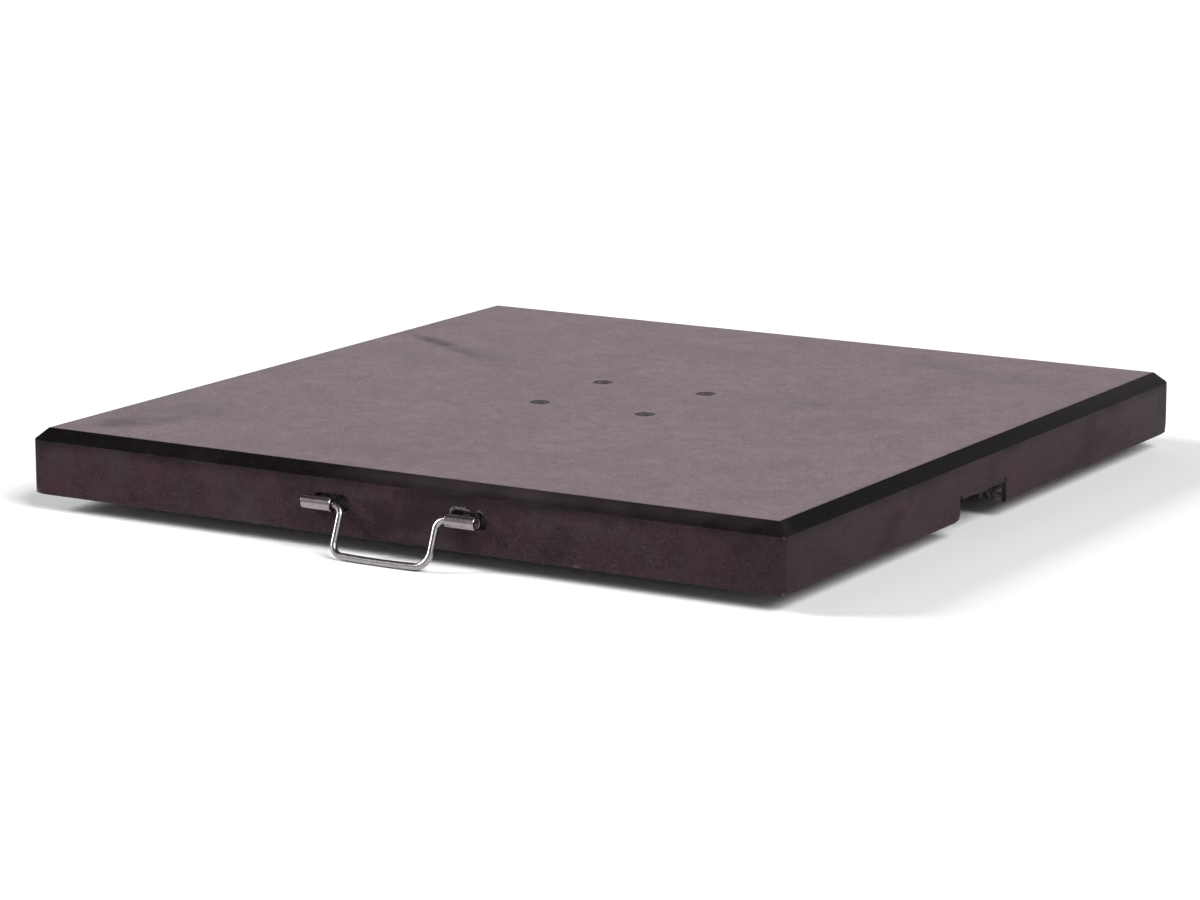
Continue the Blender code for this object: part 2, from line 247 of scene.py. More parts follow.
# Place, radius and depth of each knock.
KNOCKS = (
    ((0.3738, -0.3738, 0.0622), 0.0020, 0.0008),
    ((0.3738, -0.3738, 0.0158), 0.0030, 0.0010),
    ((-0.3738, -0.3738, 0.0165), 0.0045, 0.0018),
    ((0.3738, 0.3738, 0.0165), 0.0050, 0.0016),
    ((-0.3738, 0.3738, 0.0175), 0.0060, 0.0022),
    ((-0.3738, 0.3738, 0.0620), 0.0024, 0.0010),
    ((0.3750, -0.0640, 0.0150), 0.0040, 0.0016),
    ((-0.3750, 0.1210, 0.0150), 0.0050, 0.0018),
    ((0.1830, -0.3750, 0.0150), 0.0036, 0.0012),
    ((-0.2210, 0.3750, 0.0150), 0.0055, 0.0018),
)
fine = lattice_noise(sharp_skin, 0.0011, 11)
middling = lattice_noise(sharp_skin, 0.0034, 12)
patchy = lattice_noise(sharp_skin, 0.0210, 13)
loss = CRUMBLE * (0.6 + 0.4 * fine) + SHELL * np.clip(0.75 * middling + 0.55 * patchy - 0.62, 0.0, 1.0)
inset = inset.copy()
height = sharp_skin[..., 2].copy()
depth = np.zeros(inset.shape)
for corner, (inward, upward), wear in WORN_EDGES:
    away = np.hypot(section[:, 0] - edge_section[corner, 0], section[:, 1] - edge_section[corner, 1])
    taken = wear * loss * np.exp(-((away / 0.0010) ** 2))[:, None]
    inset += taken * inward
    height += taken * upward
    depth = np.maximum(depth, taken)
at_corner = np.where(turn < 0.0, 0.0, np.sin(np.pi * np.clip(turn, 0.0, 1.0)))[None, :]
upright = at_corner * (section[:, 1] < TOP - 0.3 * TOP_CHAMFER)[:, None]
taken = 0.9 * loss * upright
inset += taken
depth = np.maximum(depth, taken)
for place, radius, deep in KNOCKS:
    away = np.linalg.norm(sharp_skin - np.array(place), axis=-1)
    taken = deep * np.exp(-((away / radius) ** 2)) * (0.75 + 0.35 * middling + 0.2 * fine)
    taken = np.maximum(taken, 0.0)
    inset += 0.85 * taken
    height += 0.5 * taken * np.where(section[:, 1:] < (BASE + TOP) / 2.0, 1.0, -1.0)
    depth = np.maximum(depth, taken)
# The sides wave a little, as the rubbing pad leaves them.
inset += SIDE_WAVE * (1.0 + lattice_noise(sharp_skin, 0.038, 14)) * (inset < SIDE_WAVE_REACH)
skin_points = np.concatenate([plan_points(inset, side, run, turn), height[..., None]], axis=-1)


def node(tree, kind, inputs=None, **settings):
    """One shader node. An input is a plain value or another node's output."""
    made = tree.nodes.new("ShaderNode" + kind)
    for key, value in settings.items():
        setattr(made, key, value)
    for key, value in (inputs or {}).items():
        if isinstance(value, bpy.types.NodeSocket):
            tree.links.new(value, made.inputs[key])
        else:
            made.inputs[key].default_value = value
    return made


def between(tree, value, low, high, to_low, to_high):
    """Spreads a value from one range to another, held at its ends."""
    inputs = {"Value": value, "From Min": low, "From Max": high, "To Min": to_low, "To Max": to_high}
    return node(tree, "MapRange", inputs).outputs["Result"]


def times(tree, first, second):
    """The product of two values."""
    return node(tree, "Math", {0: first, 1: second}, operation="MULTIPLY").outputs[0]


def plus(tree, first, second):
    """The sum of two values."""
    return node(tree, "Math", {0: first, 1: second}, operation="ADD").outputs[0]


def mixed(tree, share, first, second, how="MIX"):
    """Two colours mixed by a share, or combined as the mode says."""
    made = node(tree, "Mix", {0: share, 6: first, 7: second}, data_type="RGBA", blend_type=how)
    return made.outputs[2]


def tones(tree, value, *stops):
    """A colour read from stops of (place, colour) along a value."""
    ramp = node(tree, "ValToRGB", {"Fac": value})
    elements = ramp.color_ramp.elements
    while len(elements) < len(stops):
        elements.new(0.5)
    for element, (place, colour) in zip(elements, stops):
        element.position = place
        element.color = (*colour, 1.0)
    return ramp.outputs["Color"]


def cloud(tree, coords, scale, detail=3.0, rough=0.55, stretch=None, turn=(0.0, 0.0, 0.0)):
    """Fractal noise from 0 to 1 with a number of cells per metre, stretched if asked."""
    if stretch is not None:
        inputs = {"Vector": coords, "Rotation": turn, "Scale": stretch}
        coords = node(tree, "Mapping", inputs).outputs["Vector"]
    inputs = {"Vector": coords, "Scale": scale, "Detail": detail, "Roughness": rough}
    return node(tree, "TexNoise", inputs).outputs["Fac"]


def start_material(name, **constants):
    """A material with its node tree, its Principled shader with constants set on it, and the piece's
    own coordinates in metres."""
    made = bpy.data.materials.new(name)
    made.use_nodes = True
    tree = made.node_tree
    shader = tree.nodes["Principled BSDF"]
    for key, value in constants.items():
        shader.inputs[key.replace("_", " ")].default_value = value
    coords = node(tree, "TexCoord").outputs["Object"]
    return made, tree, shader, coords


def bump(tree, shader, height, strength, distance, under=None):
    """Raises the surface by a height from 0 to 1 over the given distance."""
    inputs = {"Height": height, "Strength": strength, "Distance": distance}
    if under is not None:
        inputs["Normal"] = under
    made = node(tree, "Bump", inputs)
    tree.links.new(made.outputs["Normal"], shader.inputs["Normal"])
    return made.outputs["Normal"]


def granite_colour(tree, coords, dark, middle, light, dust, mark="bruise"):
    """The stone itself: interlocked grains near a millimetre across in close tones, a few black ones,
    slow clouds of colour through them, and paler crushed stone wherever it is marked."""
    grain = node(tree, "TexVoronoi", {"Vector": coords, "Scale": 780.0}).outputs["Color"]
    each = node(tree, "SeparateColor", {"Color": grain})
    colour = tones(tree, each.outputs[0], (0.0, dark), (0.28, middle), (0.72, middle), (1.0, light))
    fine_grain = cloud(tree, coords, 1500.0, 2.0)
    colour = mixed(tree, 0.28, colour, tones(tree, fine_grain, (0.25, dark), (0.75, light)))
    clouds = between(tree, cloud(tree, coords, 9.0, 5.0), 0.3, 0.7, 0.0, 1.0)
    tint = tones(tree, clouds, (0.0, (0.93, 0.95, 0.95)), (1.0, (1.06, 1.0, 1.03)))
    colour = mixed(tree, 1.0, colour, tint, "MULTIPLY")
    flecks = node(tree, "TexVoronoi", {"Vector": coords, "Scale": 46.0}).outputs["Distance"]
    fleck = between(tree, flecks, 0.028, 0.055, 0.75, 0.0)
    colour = mixed(tree, fleck, colour, (*[0.35 * part for part in dark], 1.0))
    bruise = node(tree, "Attribute", attribute_name=mark).outputs["Fac"]
    powder = times(tree, bruise, between(tree, cloud(tree, coords, 900.0, 3.0), 0.3, 0.62, 0.35, 1.0))
    return mixed(tree, powder, colour, (*dust, 1.0)), powder


def smudge(tree, coords, centre, angle, length, width):
    """A soft oval mark from 0 to 1 lying on the top face, its middle at centre."""
    inputs = {
        "Vector": coords,
        "Location": (*centre, TOP),
        "Rotation": (0.0, 0.0, math.radians(angle)),
        "Scale": (length, width, 1.0),
    }
    placed = node(tree, "Mapping", inputs, vector_type="TEXTURE").outputs["Vector"]
    ball = node(tree, "TexGradient", {"Vector": placed}, gradient_type="SPHERICAL")
    return between(tree, ball.outputs["Fac"], 0.0, 1.0, 0.0, 1.0)


# Honed top: grey with a purple cast, matt, with old rub marks and wiped dust.
honed, tree, shader, coords = start_material("honed_granite", Specular_IOR_Level=0.25)
colour, powder = granite_colour(
    tree, coords, (0.092, 0.064, 0.073), (0.147, 0.107, 0.120), (0.216, 0.168, 0.185), (0.40, 0.36, 0.36)
)
specks = between(tree, cloud(tree, coords, 400.0, 2.0, 0.5), 0.34, 0.42, 0.75, 0.0)
colour = mixed(tree, specks, colour, (0.058, 0.042, 0.049, 1.0))
wiped = between(tree, cloud(tree, coords, 13.0, 5.0, 0.62), 0.38, 0.66, 0.0, 1.0)
colour = mixed(tree, times(tree, wiped, 0.26), colour, (0.215, 0.172, 0.182, 1.0))
mottle = between(tree, cloud(tree, coords, 75.0, 5.0, 0.7), 0.40, 0.60, 0.36, 0.0)
colour = mixed(tree, mottle, colour, (0.084, 0.062, 0.070, 1.0))
# Old marks: middle, angle, half length, half width, strength, and 0 for a dark rub or 1 for a stain.
MARKS = (
    ((-0.290, 0.150), -30.0, 0.105, 0.014, 1.60, 0),
    ((-0.205, 0.110), -24.0, 0.080, 0.030, 0.60, 0),
    ((-0.318, -0.312), 50.0, 0.060, 0.028, 1.10, 0),
    ((-0.300, -0.250), 20.0, 0.080, 0.045, 0.45, 0),
    ((-0.020, -0.300), 6.0, 0.160, 0.035, 0.35, 0),
    ((0.160, 0.055), 20.0, 0.070, 0.035, 0.35, 0),
    ((-0.285, 0.085), -25.0, 0.085, 0.030, 0.55, 1),
    ((0.165, 0.295), -20.0, 0.090, 0.045, 0.70, 1),
    ((0.262, 0.262), 10.0, 0.070, 0.035, 0.75, 1),
    ((0.240, 0.010), 30.0, 0.090, 0.040, 0.65, 1),
    ((-0.060, 0.240), -10.0, 0.120, 0.050, 0.40, 1),
)
MARK_COLOURS = ((0.050, 0.040, 0.043, 1.0), (0.088, 0.072, 0.064, 1.0))
ragged = between(tree, cloud(tree, coords, 34.0, 5.0, 0.7), 0.34, 0.62, 0.10, 1.0)
for middle, angle, length, width, strength, kind in MARKS:
    mark = times(tree, smudge(tree, coords, middle, angle, length, width), strength)
    colour = mixed(tree, times(tree, mark, ragged), colour, MARK_COLOURS[kind])
place = node(tree, "SeparateXYZ", {"Vector": coords})
across = [node(tree, "Math", {0: place.outputs[axis]}, operation="ABSOLUTE").outputs[0] for axis in "XY"]
outermost = node(tree, "Math", {0: across[0], 1: across[1]}, operation="MAXIMUM").outputs[0]
waver = between(tree, cloud(tree, coords, 330.0, 4.0, 0.7), 0.3, 0.7, -0.0012, 0.0012)
outermost = plus(tree, outermost, waver)
EDGE_OF_TOP = HALF_SIDE - TOP_CHAMFER
lapped = between(tree, outermost, EDGE_OF_TOP - 0.0024, EDGE_OF_TOP - 0.0002, 0.0, 0.6)
colour = mixed(tree, lapped, colour, (0.020, 0.015, 0.017, 1.0))
tree.links.new(colour, shader.inputs["Base Color"])
rough = between(tree, cloud(tree, coords, 14.0, 5.0), 0.3, 0.7, 0.50, 0.60)
rough = plus(tree, rough, times(tree, powder, 0.3))
tree.links.new(rough, shader.inputs["Roughness"])
pits = times(tree, cloud(tree, coords, 1900.0, 2.0), 0.6)
dips = times(tree, cloud(tree, coords, 260.0, 3.0), 0.4)
bump(tree, shader, plus(tree, pits, dips), 0.35, 0.00006)

# Polished chamfer: nearly black and glassy, with its grains just showing, and a browner haze in clouds, made
# lighter by place as painted sheen.
polished, tree, shader, coords = start_material("polished_granite", Specular_IOR_Level=0.16)
colour, powder = granite_colour(
    tree,
    coords,
    (0.0010, 0.0008, 0.0009),
    (0.0022, 0.0017, 0.0019),
    (0.0080, 0.0056, 0.0064),
    (0.17, 0.15, 0.15),
)
haze_and_painted_sheen = between(tree, cloud(tree, coords, 5.0, 4.0, 0.6), 0.40, 0.62, 0.15, 1.0)
place = node(tree, "SeparateXYZ", {"Vector": coords})
# Painted sheen: the haze grows along the front towards the right, towards the back, and towards the upper
# edge of the bevel.
haze_and_painted_sheen = times(tree, haze_and_painted_sheen, between(tree, place.outputs["X"], -0.30, 0.20, 0.0, 1.0))
haze_and_painted_sheen = times(tree, haze_and_painted_sheen, between(tree, place.outputs["Y"], -0.372, -0.350, 1.0, 0.0))
haze_and_painted_sheen = plus(tree, haze_and_painted_sheen, between(tree, place.outputs["Y"], 0.05, 0.36, 0.0, 0.22))
upper_bevel_painted_sheen = between(tree, place.outputs["Z"], TOP - 0.8 * TOP_CHAMFER, TOP - 0.4 * TOP_CHAMFER, 0.45, 1.0)
haze_and_painted_sheen = times(tree, haze_and_painted_sheen, upper_bevel_painted_sheen)
colour = mixed(tree, haze_and_painted_sheen, colour, (0.037, 0.0275, 0.0330, 1.0))
tree.links.new(colour, shader.inputs["Base Color"])
rough = between(tree, cloud(tree, coords, 40.0, 4.0), 0.3, 0.7, 0.14, 0.24)
rough = plus(tree, rough, times(tree, powder, 0.5))
tree.links.new(rough, shader.inputs["Roughness"])
bump(tree, shader, cloud(tree, coords, 420.0, 3.0), 0.18, 0.00008)

# Satin sides: brownish purple, with duller greenish-grey patches where the rubbing pad bit less,
# and fine level lines left by it.
satin, tree, shader, coords = start_material("satin_granite", Specular_IOR_Level=0.03)
colour, powder = granite_colour(
    tree,
    coords,
    (0.0140, 0.0083, 0.0105),
    (0.0275, 0.0166, 0.0203),
    (0.045, 0.0300, 0.0360),
    (0.17, 0.15, 0.145),
)
patch = between(tree, cloud(tree, coords, 20.0, 5.0, 0.62, (1.0, 1.0, 0.8)), 0.47, 0.66, 0.0, 0.9)
colour = mixed(tree, patch, colour, (0.036, 0.0275, 0.0315, 1.0))
lines = cloud(tree, coords, 60.0, 3.0, 0.6, (0.35, 0.35, 16.0))
colour = mixed(tree, between(tree, lines, 0.5, 0.8, 0.0, 0.35), colour, (0.052, 0.036, 0.041, 1.0))
red = between(tree, cloud(tree, coords, 31.0, 4.0, 0.6), 0.53, 0.72, 0.0, 0.7)
colour = mixed(tree, red, colour, (0.044, 0.020, 0.0265, 1.0))
worn = cloud(tree, coords, 12.0, 5.0, 0.65, (1.0, 1.0, 1.5), (0.5, 0.0, 0.0))
worn = between(tree, worn, 0.36, 0.46, 0.55, 0.0)
colour = mixed(tree, worn, colour, (0.012, 0.0085, 0.0100, 1.0))
place = node(tree, "SeparateXYZ", {"Vector": coords})
handled = node(tree, "Math", {0: place.outputs["X"], 1: place.outputs["Y"]}, operation="SUBTRACT").outputs[0]
colour = mixed(tree, between(tree, handled, 0.60, 0.75, 0.0, 0.30), colour, (0.012, 0.0090, 0.0104, 1.0))
lipped = between(tree, place.outputs["Z"], TOP - TOP_CHAMFER - 0.009, TOP - TOP_CHAMFER - 0.001, 0.0, 0.75)
lipped = times(tree, lipped, between(tree, cloud(tree, coords, 14.0, 4.0), 0.35, 0.60, 0.2, 1.0))
colour = mixed(tree, lipped, colour, (0.009, 0.0065, 0.0075, 1.0))
tree.links.new(colour, shader.inputs["Base Color"])
rough = plus(tree, between(tree, patch, 0.0, 0.85, 0.34, 0.50), times(tree, powder, 0.3))
tree.links.new(rough, shader.inputs["Roughness"])
under = bump(tree, shader, lines, 0.30, 0.00018)
bump(tree, shader, cloud(tree, coords, 900.0, 3.0), 0.30, 0.00010, under)

# Underside: dull grey from the saw, with the blade's curved tracks.
sawn, tree, shader, coords = start_material("sawn_granite", Specular_IOR_Level=0.30)
colour, powder = granite_colour(
    tree, coords, (0.070, 0.058, 0.062), (0.110, 0.092, 0.098), (0.160, 0.142, 0.146), (0.36, 0.34, 0.33)
)
inputs = {"Vector": coords, "Location": (0.0, -1.1, 0.0)}
swung = node(tree, "Mapping", inputs, vector_type="TEXTURE").outputs["Vector"]
inputs = {"Vector": swung, "Scale": 34.0, "Distortion": 1.4, "Detail": 3.0, "Detail Scale": 6.0}
tracks = node(tree, "TexWave", inputs, wave_type="RINGS", rings_direction="Z").outputs["Fac"]
colour = mixed(tree, times(tree, tracks, 0.25), colour, (0.17, 0.155, 0.155, 1.0))
tree.links.new(colour, shader.inputs["Base Color"])
tree.links.new(between(tree, powder, 0.0, 1.0, 0.72, 0.85), shader.inputs["Roughness"])
under = bump(tree, shader, tracks, 0.5, 0.00030)
bump(tree, shader, cloud(tree, coords, 800.0, 3.0), 0.4, 0.00015, under)

# Broken stone in the pockets and recesses, and the greyer stone inside a drilled hole.
broken, tree, shader, coords = start_material("broken_granite", Specular_IOR_Level=0.25)
colour, _ = granite_colour(
    tree,
    coords,
    (0.009, 0.0064, 0.0072),
    (0.022, 0.016, 0.018),
    (0.055, 0.045, 0.047),
    (0.27, 0.235, 0.245),
    "chips",
)
chisel = cloud(tree, coords, 130.0, 5.0, 0.65)
place = node(tree, "SeparateXYZ", {"Vector": coords})
depth_in = node(tree, "Math", {0: place.outputs["X"]}, operation="ABSOLUTE").outputs[0]
inside = between(tree, depth_in, HALF_SIDE - 0.0050, HALF_SIDE - 0.0040, 1.0, 0.0)
# Painted shade: pale fresh stone is held back higher up, towards the recess ceiling and in the pockets.
low_down = between(tree, place.outputs["Z"], BASE + 0.006, BASE + 0.018, 1.0, 0.25)
fresh = between(tree, cloud(tree, coords, 150.0, 5.0, 0.72), 0.50, 0.62, 0.0, 0.85)
fresh = times(tree, times(tree, fresh, inside), low_down)
colour = mixed(tree, fresh, colour, (0.155, 0.138, 0.138, 1.0))
# Darker in a strip within about 4 mm of the faces at plus and minus X, less so higher up.
outer_dark_strip = times(tree, between(tree, depth_in, HALF_SIDE - 0.0045, HALF_SIDE - 0.0035, 0.0, 0.9), low_down)
colour = mixed(tree, outer_dark_strip, colour, (0.003, 0.0025, 0.0027, 1.0))
tree.links.new(colour, shader.inputs["Base Color"])
chisel = between(tree, chisel, 0.35, 0.7, 0.0, 1.0)
tree.links.new(between(tree, chisel, 0.0, 1.0, 0.90, 0.72), shader.inputs["Roughness"])
under = bump(tree, shader, cloud(tree, coords, 240.0, 5.0, 0.65), 0.8, 0.0006)
bump(tree, shader, cloud(tree, coords, 1300.0, 2.0), 0.5, 0.0002, under)

drilled, tree, shader, coords = start_material("drilled_granite", Specular_IOR_Level=0.30)
colour, _ = granite_colour(
    tree, coords, (0.045, 0.038, 0.040), (0.080, 0.068, 0.071), (0.125, 0.110, 0.112), (0.36, 0.34, 0.33)
)
tree.links.new(colour, shader.inputs["Base Color"])
rings = cloud(tree, coords, 90.0, 3.0, 0.6, (0.3, 0.3, 14.0))
tree.links.new(between(tree, rings, 0.3, 0.7, 0.55, 0.75), shader.inputs["Roughness"])
bump(tree, shader, rings, 0.5, 0.0002)

STONE = [honed, polished, satin, sawn, broken, drilled]

row_middle = (stations[:-1] + stations[1:]) / 2.0
row_finish = np.select(
    [row_middle < edge_lengths[1], row_middle < edge_lengths[2], row_middle < edge_lengths[4]],
    [HONED, POLISHED, SATIN],
    SAWN,
)
columns = len(turn)
first_row = range(columns - 1)
last_row = range((len(stations) - 1) * columns, len(stations) * columns - 1)
plate_mesh = surface_mesh(
    "granite_plate",
    [(skin_points, row_finish)],
    STONE,
    sharp=STONE_SHARP,
    caps=[(first_row, HONED), (last_row, SAWN)],
)
plate = add_piece(plate_mesh, "plate", "granite", "granite_slab")
cutters = bpy.data.collections.new("stone_cutters")
bpy.context.scene.collection.children.link(cutters)


def add_cutter(name, sheets):
    """A closed shape that is taken out of the stone. Its faces bring their finish with them."""
    shape = bpy.data.objects.new(name, surface_mesh(name, sheets, STONE))
    cutters.objects.link(shape)


# ---- The bolt holes -----------------------------------------------------------------------------
# Four holes drilled right through for the mast's flange, and counterbored from below so that nuts
# and washers stay clear of the floor. The core drill leaves a bruised, slightly ragged rim.

BOLT_PITCH = 0.110
BOLT_CENTRE = (0.001, 0.005)
BOLT_HOLE = 0.0090  # radius
BOLT_SINK = 0.0190  # radius
BOLT_SINK_DEPTH = 0.024
PAST = 0.010  # how far a cutter runs on beyond the stone


def turned(profile, axis, centre, around=64, ragged=None, seed=1, grain=0.0016):
    """A profile of (radius, height) rows spun about an axis through centre. The radius may differ
    at each angle too. Ragged is how far each row's radius may grow by noise."""
    radius = np.array([np.broadcast_to(row[0], around + 1) for row in profile], float)
    height = np.array([row[1] for row in profile], float)[:, None]
    angle = np.linspace(0.0, math.tau, around + 1)
    across, up = [(1, 2), (2, 0), (0, 1)][axis]
    out = np.zeros((*radius.shape, 3))
    out[..., across] = radius * np.cos(angle)
    out[..., up] = radius * np.sin(angle)
    out[..., axis] = height
    if ragged is not None:
        rough = 0.6 * lattice_noise(out, grain, seed) + 0.4 * lattice_noise(out, 0.4 * grain, seed + 1)
        growth = np.array(ragged)[:, None] * np.clip(0.45 + 0.75 * rough, 0.0, 1.5)
        out[..., across] += growth * np.cos(angle)
        out[..., up] += growth * np.sin(angle)
    return out + np.array(centre)


for number, (x, y) in enumerate(((-1, -1), (1, -1), (1, 1), (-1, 1))):
    profile = [
        (0.0, BASE - PAST),
        (BOLT_SINK, BASE - PAST),
        (BOLT_SINK, BASE - 0.0004),
        (BOLT_SINK, BASE + 0.0006),
        (BOLT_SINK, BASE + 0.0018),
        (BOLT_SINK, BASE + BOLT_SINK_DEPTH),
        (BOLT_HOLE, BASE + BOLT_SINK_DEPTH),
        (BOLT_HOLE, TOP - 0.0012),
        (BOLT_HOLE, TOP - 0.0005),
        (BOLT_HOLE, TOP + 0.0002),
        (BOLT_HOLE, TOP + PAST),
        (0.0, TOP + PAST),
    ]
    rag = 0.001 * np.array([0.0, 1.6, 1.4, 0.6, 0.0, 0.0, 0.0, 0.0, 0.22, 0.55, 0.8, 0.0])
    middle = (BOLT_CENTRE[0] + x * BOLT_PITCH / 2, BOLT_CENTRE[1] + y * BOLT_PITCH / 2, 0.0)
    finish = [DRILLED, BROKEN, BROKEN, BROKEN, DRILLED, DRILLED, DRILLED, DRILLED, BROKEN, BROKEN, BROKEN]
    add_cutter(f"bolt_hole_{number}", [(turned(profile, 2, middle, 72, rag, 20 + number), finish)])


# ---- The hand recesses --------------------------------------------------------------------------
# A notch in the lower edge of each side that has no handle, to get fingers under the plate. Two saw
# cuts go in from below, a little past the notch, and the stone between them is knocked out.

RECESS_WIDTH = 0.086
RECESS_HEIGHT = 0.0187
RECESS_DEPTH = 0.062
RECESS_MIDDLE = -0.019  # along Y
KERF = 0.0040
OVERCUT = 0.0040
RECESS_GRID = 0.0026


def rough_block(low, high, roughness, seed):
    """The six faces of a box as grids. Every point moves by noise of up to the roughness there,
    which is a function of place, so that faces that share an edge still meet."""
    low = np.array(low)
    high = np.array(high)
    sheets = []
    for axis in range(3):
        others = [other for other in range(3) if other != axis]
        lines = [
            np.linspace(low[other], high[other], int((high[other] - low[other]) / RECESS_GRID) + 2)
            for other in others
        ]
        for level in (low[axis], high[axis]):
            grid = np.zeros((len(lines[0]), len(lines[1]), 3))
            grid[..., axis] = level
            grid[..., others[0]] = lines[0][:, None]
            grid[..., others[1]] = lines[1][None, :]
            sheets.append(grid)
    moved = []
    for grid in sheets:
        far = roughness(grid)[..., None]
        shift = [
            0.6 * lattice_noise(grid, 0.0075, seed + turn)
            + 0.4 * lattice_noise(grid, 0.0028, seed + 5 + turn)
            for turn in range(3)
        ]
        moved.append((grid + far * np.stack(shift, axis=-1), BROKEN))
    return moved


for side_name, way in (("right", 1), ("left", -1)):
    inner = HALF_SIDE - RECESS_DEPTH
    outer = HALF_SIDE + PAST
    edges = (RECESS_MIDDLE - RECESS_WIDTH / 2, RECESS_MIDDLE + RECESS_WIDTH / 2)
    under = BASE - PAST
    ceiling = BASE + RECESS_HEIGHT

    def snapped(grid, inner=inner):
        """Rough where the stone broke at the back and the ceiling, finer on the sawn walls."""
        back = np.exp(-(((np.abs(grid[..., 0]) - inner) / 0.006) ** 2))
        top = np.exp(-(((grid[..., 2] - ceiling) / 0.003) ** 2))
        inside = (grid[..., 1] > edges[0] + 0.001) & (grid[..., 1] < edges[1] - 0.001)
        return np.where(inside, 0.00015 + 0.0009 * back + 0.0006 * top, 0.00012 + 0.0002 * back)

    lengths = sorted((way * inner, way * outer))
    block = rough_block((lengths[0], edges[0], under), (lengths[1], edges[1], ceiling), snapped, 40 + way)
    add_cutter(f"recess_{side_name}", block)
    lengths = sorted((way * (inner - OVERCUT), way * (outer + PAST)))
    for name, edge, inward in (("front", edges[0], 1), ("back", edges[1], -1)):
        across = sorted((edge - inward * KERF / 2, edge + inward * KERF / 2))
        low = (lengths[0], across[0], under - PAST)
        high = (lengths[1], across[1], ceiling + OVERCUT)
        kerf = rough_block(low, high, lambda grid: np.full(grid.shape[:-1], 0.00010), 50 + way)
        add_cutter(f"kerf_{side_name}_{name}", kerf)


# ---- Pockets and stud holes for the handles -----------------------------------------------------
# Behind each sleeve the face is chiselled out in a long oval, so that the sleeve can sit close to
# the stone, and a hole is drilled on from it for the stud. The oval's lip is chipped all round.

HINGE_OUT = 0.0065  # hinge axis from the stone's face
POCKET_LENGTH = 0.0390
POCKET_HEIGHT = 0.0160
POCKET_DEPTH = 0.0080
POCKET_SHIFTS = {"left": 0.0080, "right": 0.0015}  # along X, from the sleeve's middle
LIP_CHIPS = {"left": (0.5, 0.25), "right": (1.9, 0.4)}  # above and below, against the usual size
STUD_HOLE = 0.0076  # radius
STUD_HOLE_END = 0.0480  # from the hinge axis
POCKET_POINTS = 168
HANDLES = (
    ("front", 1, "left"),
    ("front", 1, "right"),
    ("back", -1, "left"),
    ("back", -1, "right"),
)


def to_side(points, side):
    """Turns points made for the front handle half a turn about Z if they belong to the back one."""
    return points * np.array([side, side, 1.0])


def oval(length, height, count):
    """Points spaced evenly round a slot with half-round ends, in its own plane."""
    bend = np.linspace(-math.pi / 2, math.pi / 2, 33)
    right = np.stack([(length - height) / 2 + height / 2 * np.cos(bend), height / 2 * np.sin(bend)], axis=-1)
    outline = np.concatenate([right, -right, right[:1]])
    return worn_line(outline, np.linspace(0.0, lengths_along(outline)[-1], count + 1), 0.0)


def pocket_sheet(middle, upper, lower, seed):
    """Ovals carried into the stone. Near the face they grow by the lip's chips, of the upper and
    lower size, and past the floor's edge they shrink to its middle. The floor and walls are uneven."""
    # Growth of the oval, chip size, depth, share of the oval kept, unevenness along the depth.
    rows = 0.001 * np.array(
        [
            (0.0, 0.0, -10.0, 0, 0.0),
            (0.0, 2.5, -10.0, 1000, 0.0),
            (0.0, 2.4, -0.06, 1000, 0.0),
            (-0.1, 2.2, 0.08, 1000, 0.0),
            (-0.5, 1.3, 0.45, 1000, 0.0),
            (-0.8, 0.4, 0.9, 1000, 0.1),
            (-0.8, 0.4, 3.0, 1000, 0.1),
            (-0.8, 0.5, 5.2, 1000, 0.2),
            (-0.9, 0.4, 7.2, 1000, 0.3),
            (-1.2, 0.3, 8.0, 1000, 0.4),
            (-1.2, 0.3, 8.1, 860, 0.5),
            (-1.2, 0.3, 8.1, 640, 0.5),
            (-1.2, 0.3, 8.1, 400, 0.5),
            (-1.2, 0.3, 8.1, 180, 0.5),
            (-1.2, 0.0, 8.1, 0, 0.0),
        ]
    )
    sheet = np.zeros((len(rows), POCKET_POINTS + 1, 3))
    for row, (growth, chips, depth, share, uneven) in enumerate(rows):
        ring = oval(POCKET_LENGTH + 2 * growth, POCKET_HEIGHT + 2 * growth, POCKET_POINTS)
        reach = (POCKET_LENGTH - POCKET_HEIGHT) / 2
        spine = np.clip(ring[:, 0], -reach, reach)
        outward = ring - np.stack([spine, 0.0 * spine], axis=-1)
        outward /= np.linalg.norm(outward, axis=1, keepdims=True)
        probe = np.stack([ring[:, 0], np.full(len(ring), depth), ring[:, 1]], axis=-1)
        coarse = lattice_noise(probe, 0.0056, seed)
        small = lattice_noise(probe, 0.0016, seed + 1)
        size = chips * (lower + (upper - lower) * np.clip(0.5 + 0.7 * outward[:, 1], 0.0, 1.0))
        ring = ring + outward * (size * np.clip(0.2 + 0.9 * coarse + 0.25 * small, -0.1, 1.2))[:, None]
        ring = ring * share
        probe = np.stack([ring[:, 0], np.full(len(ring), depth), ring[:, 1]], axis=-1)
        sheet[row, :, 0] = middle[0] + ring[:, 0]
        sheet[row, :, 1] = middle[1] + depth + uneven * lattice_noise(probe, 0.0030, seed + 2)
        sheet[row, :, 2] = middle[2] + ring[:, 1]
    return sheet


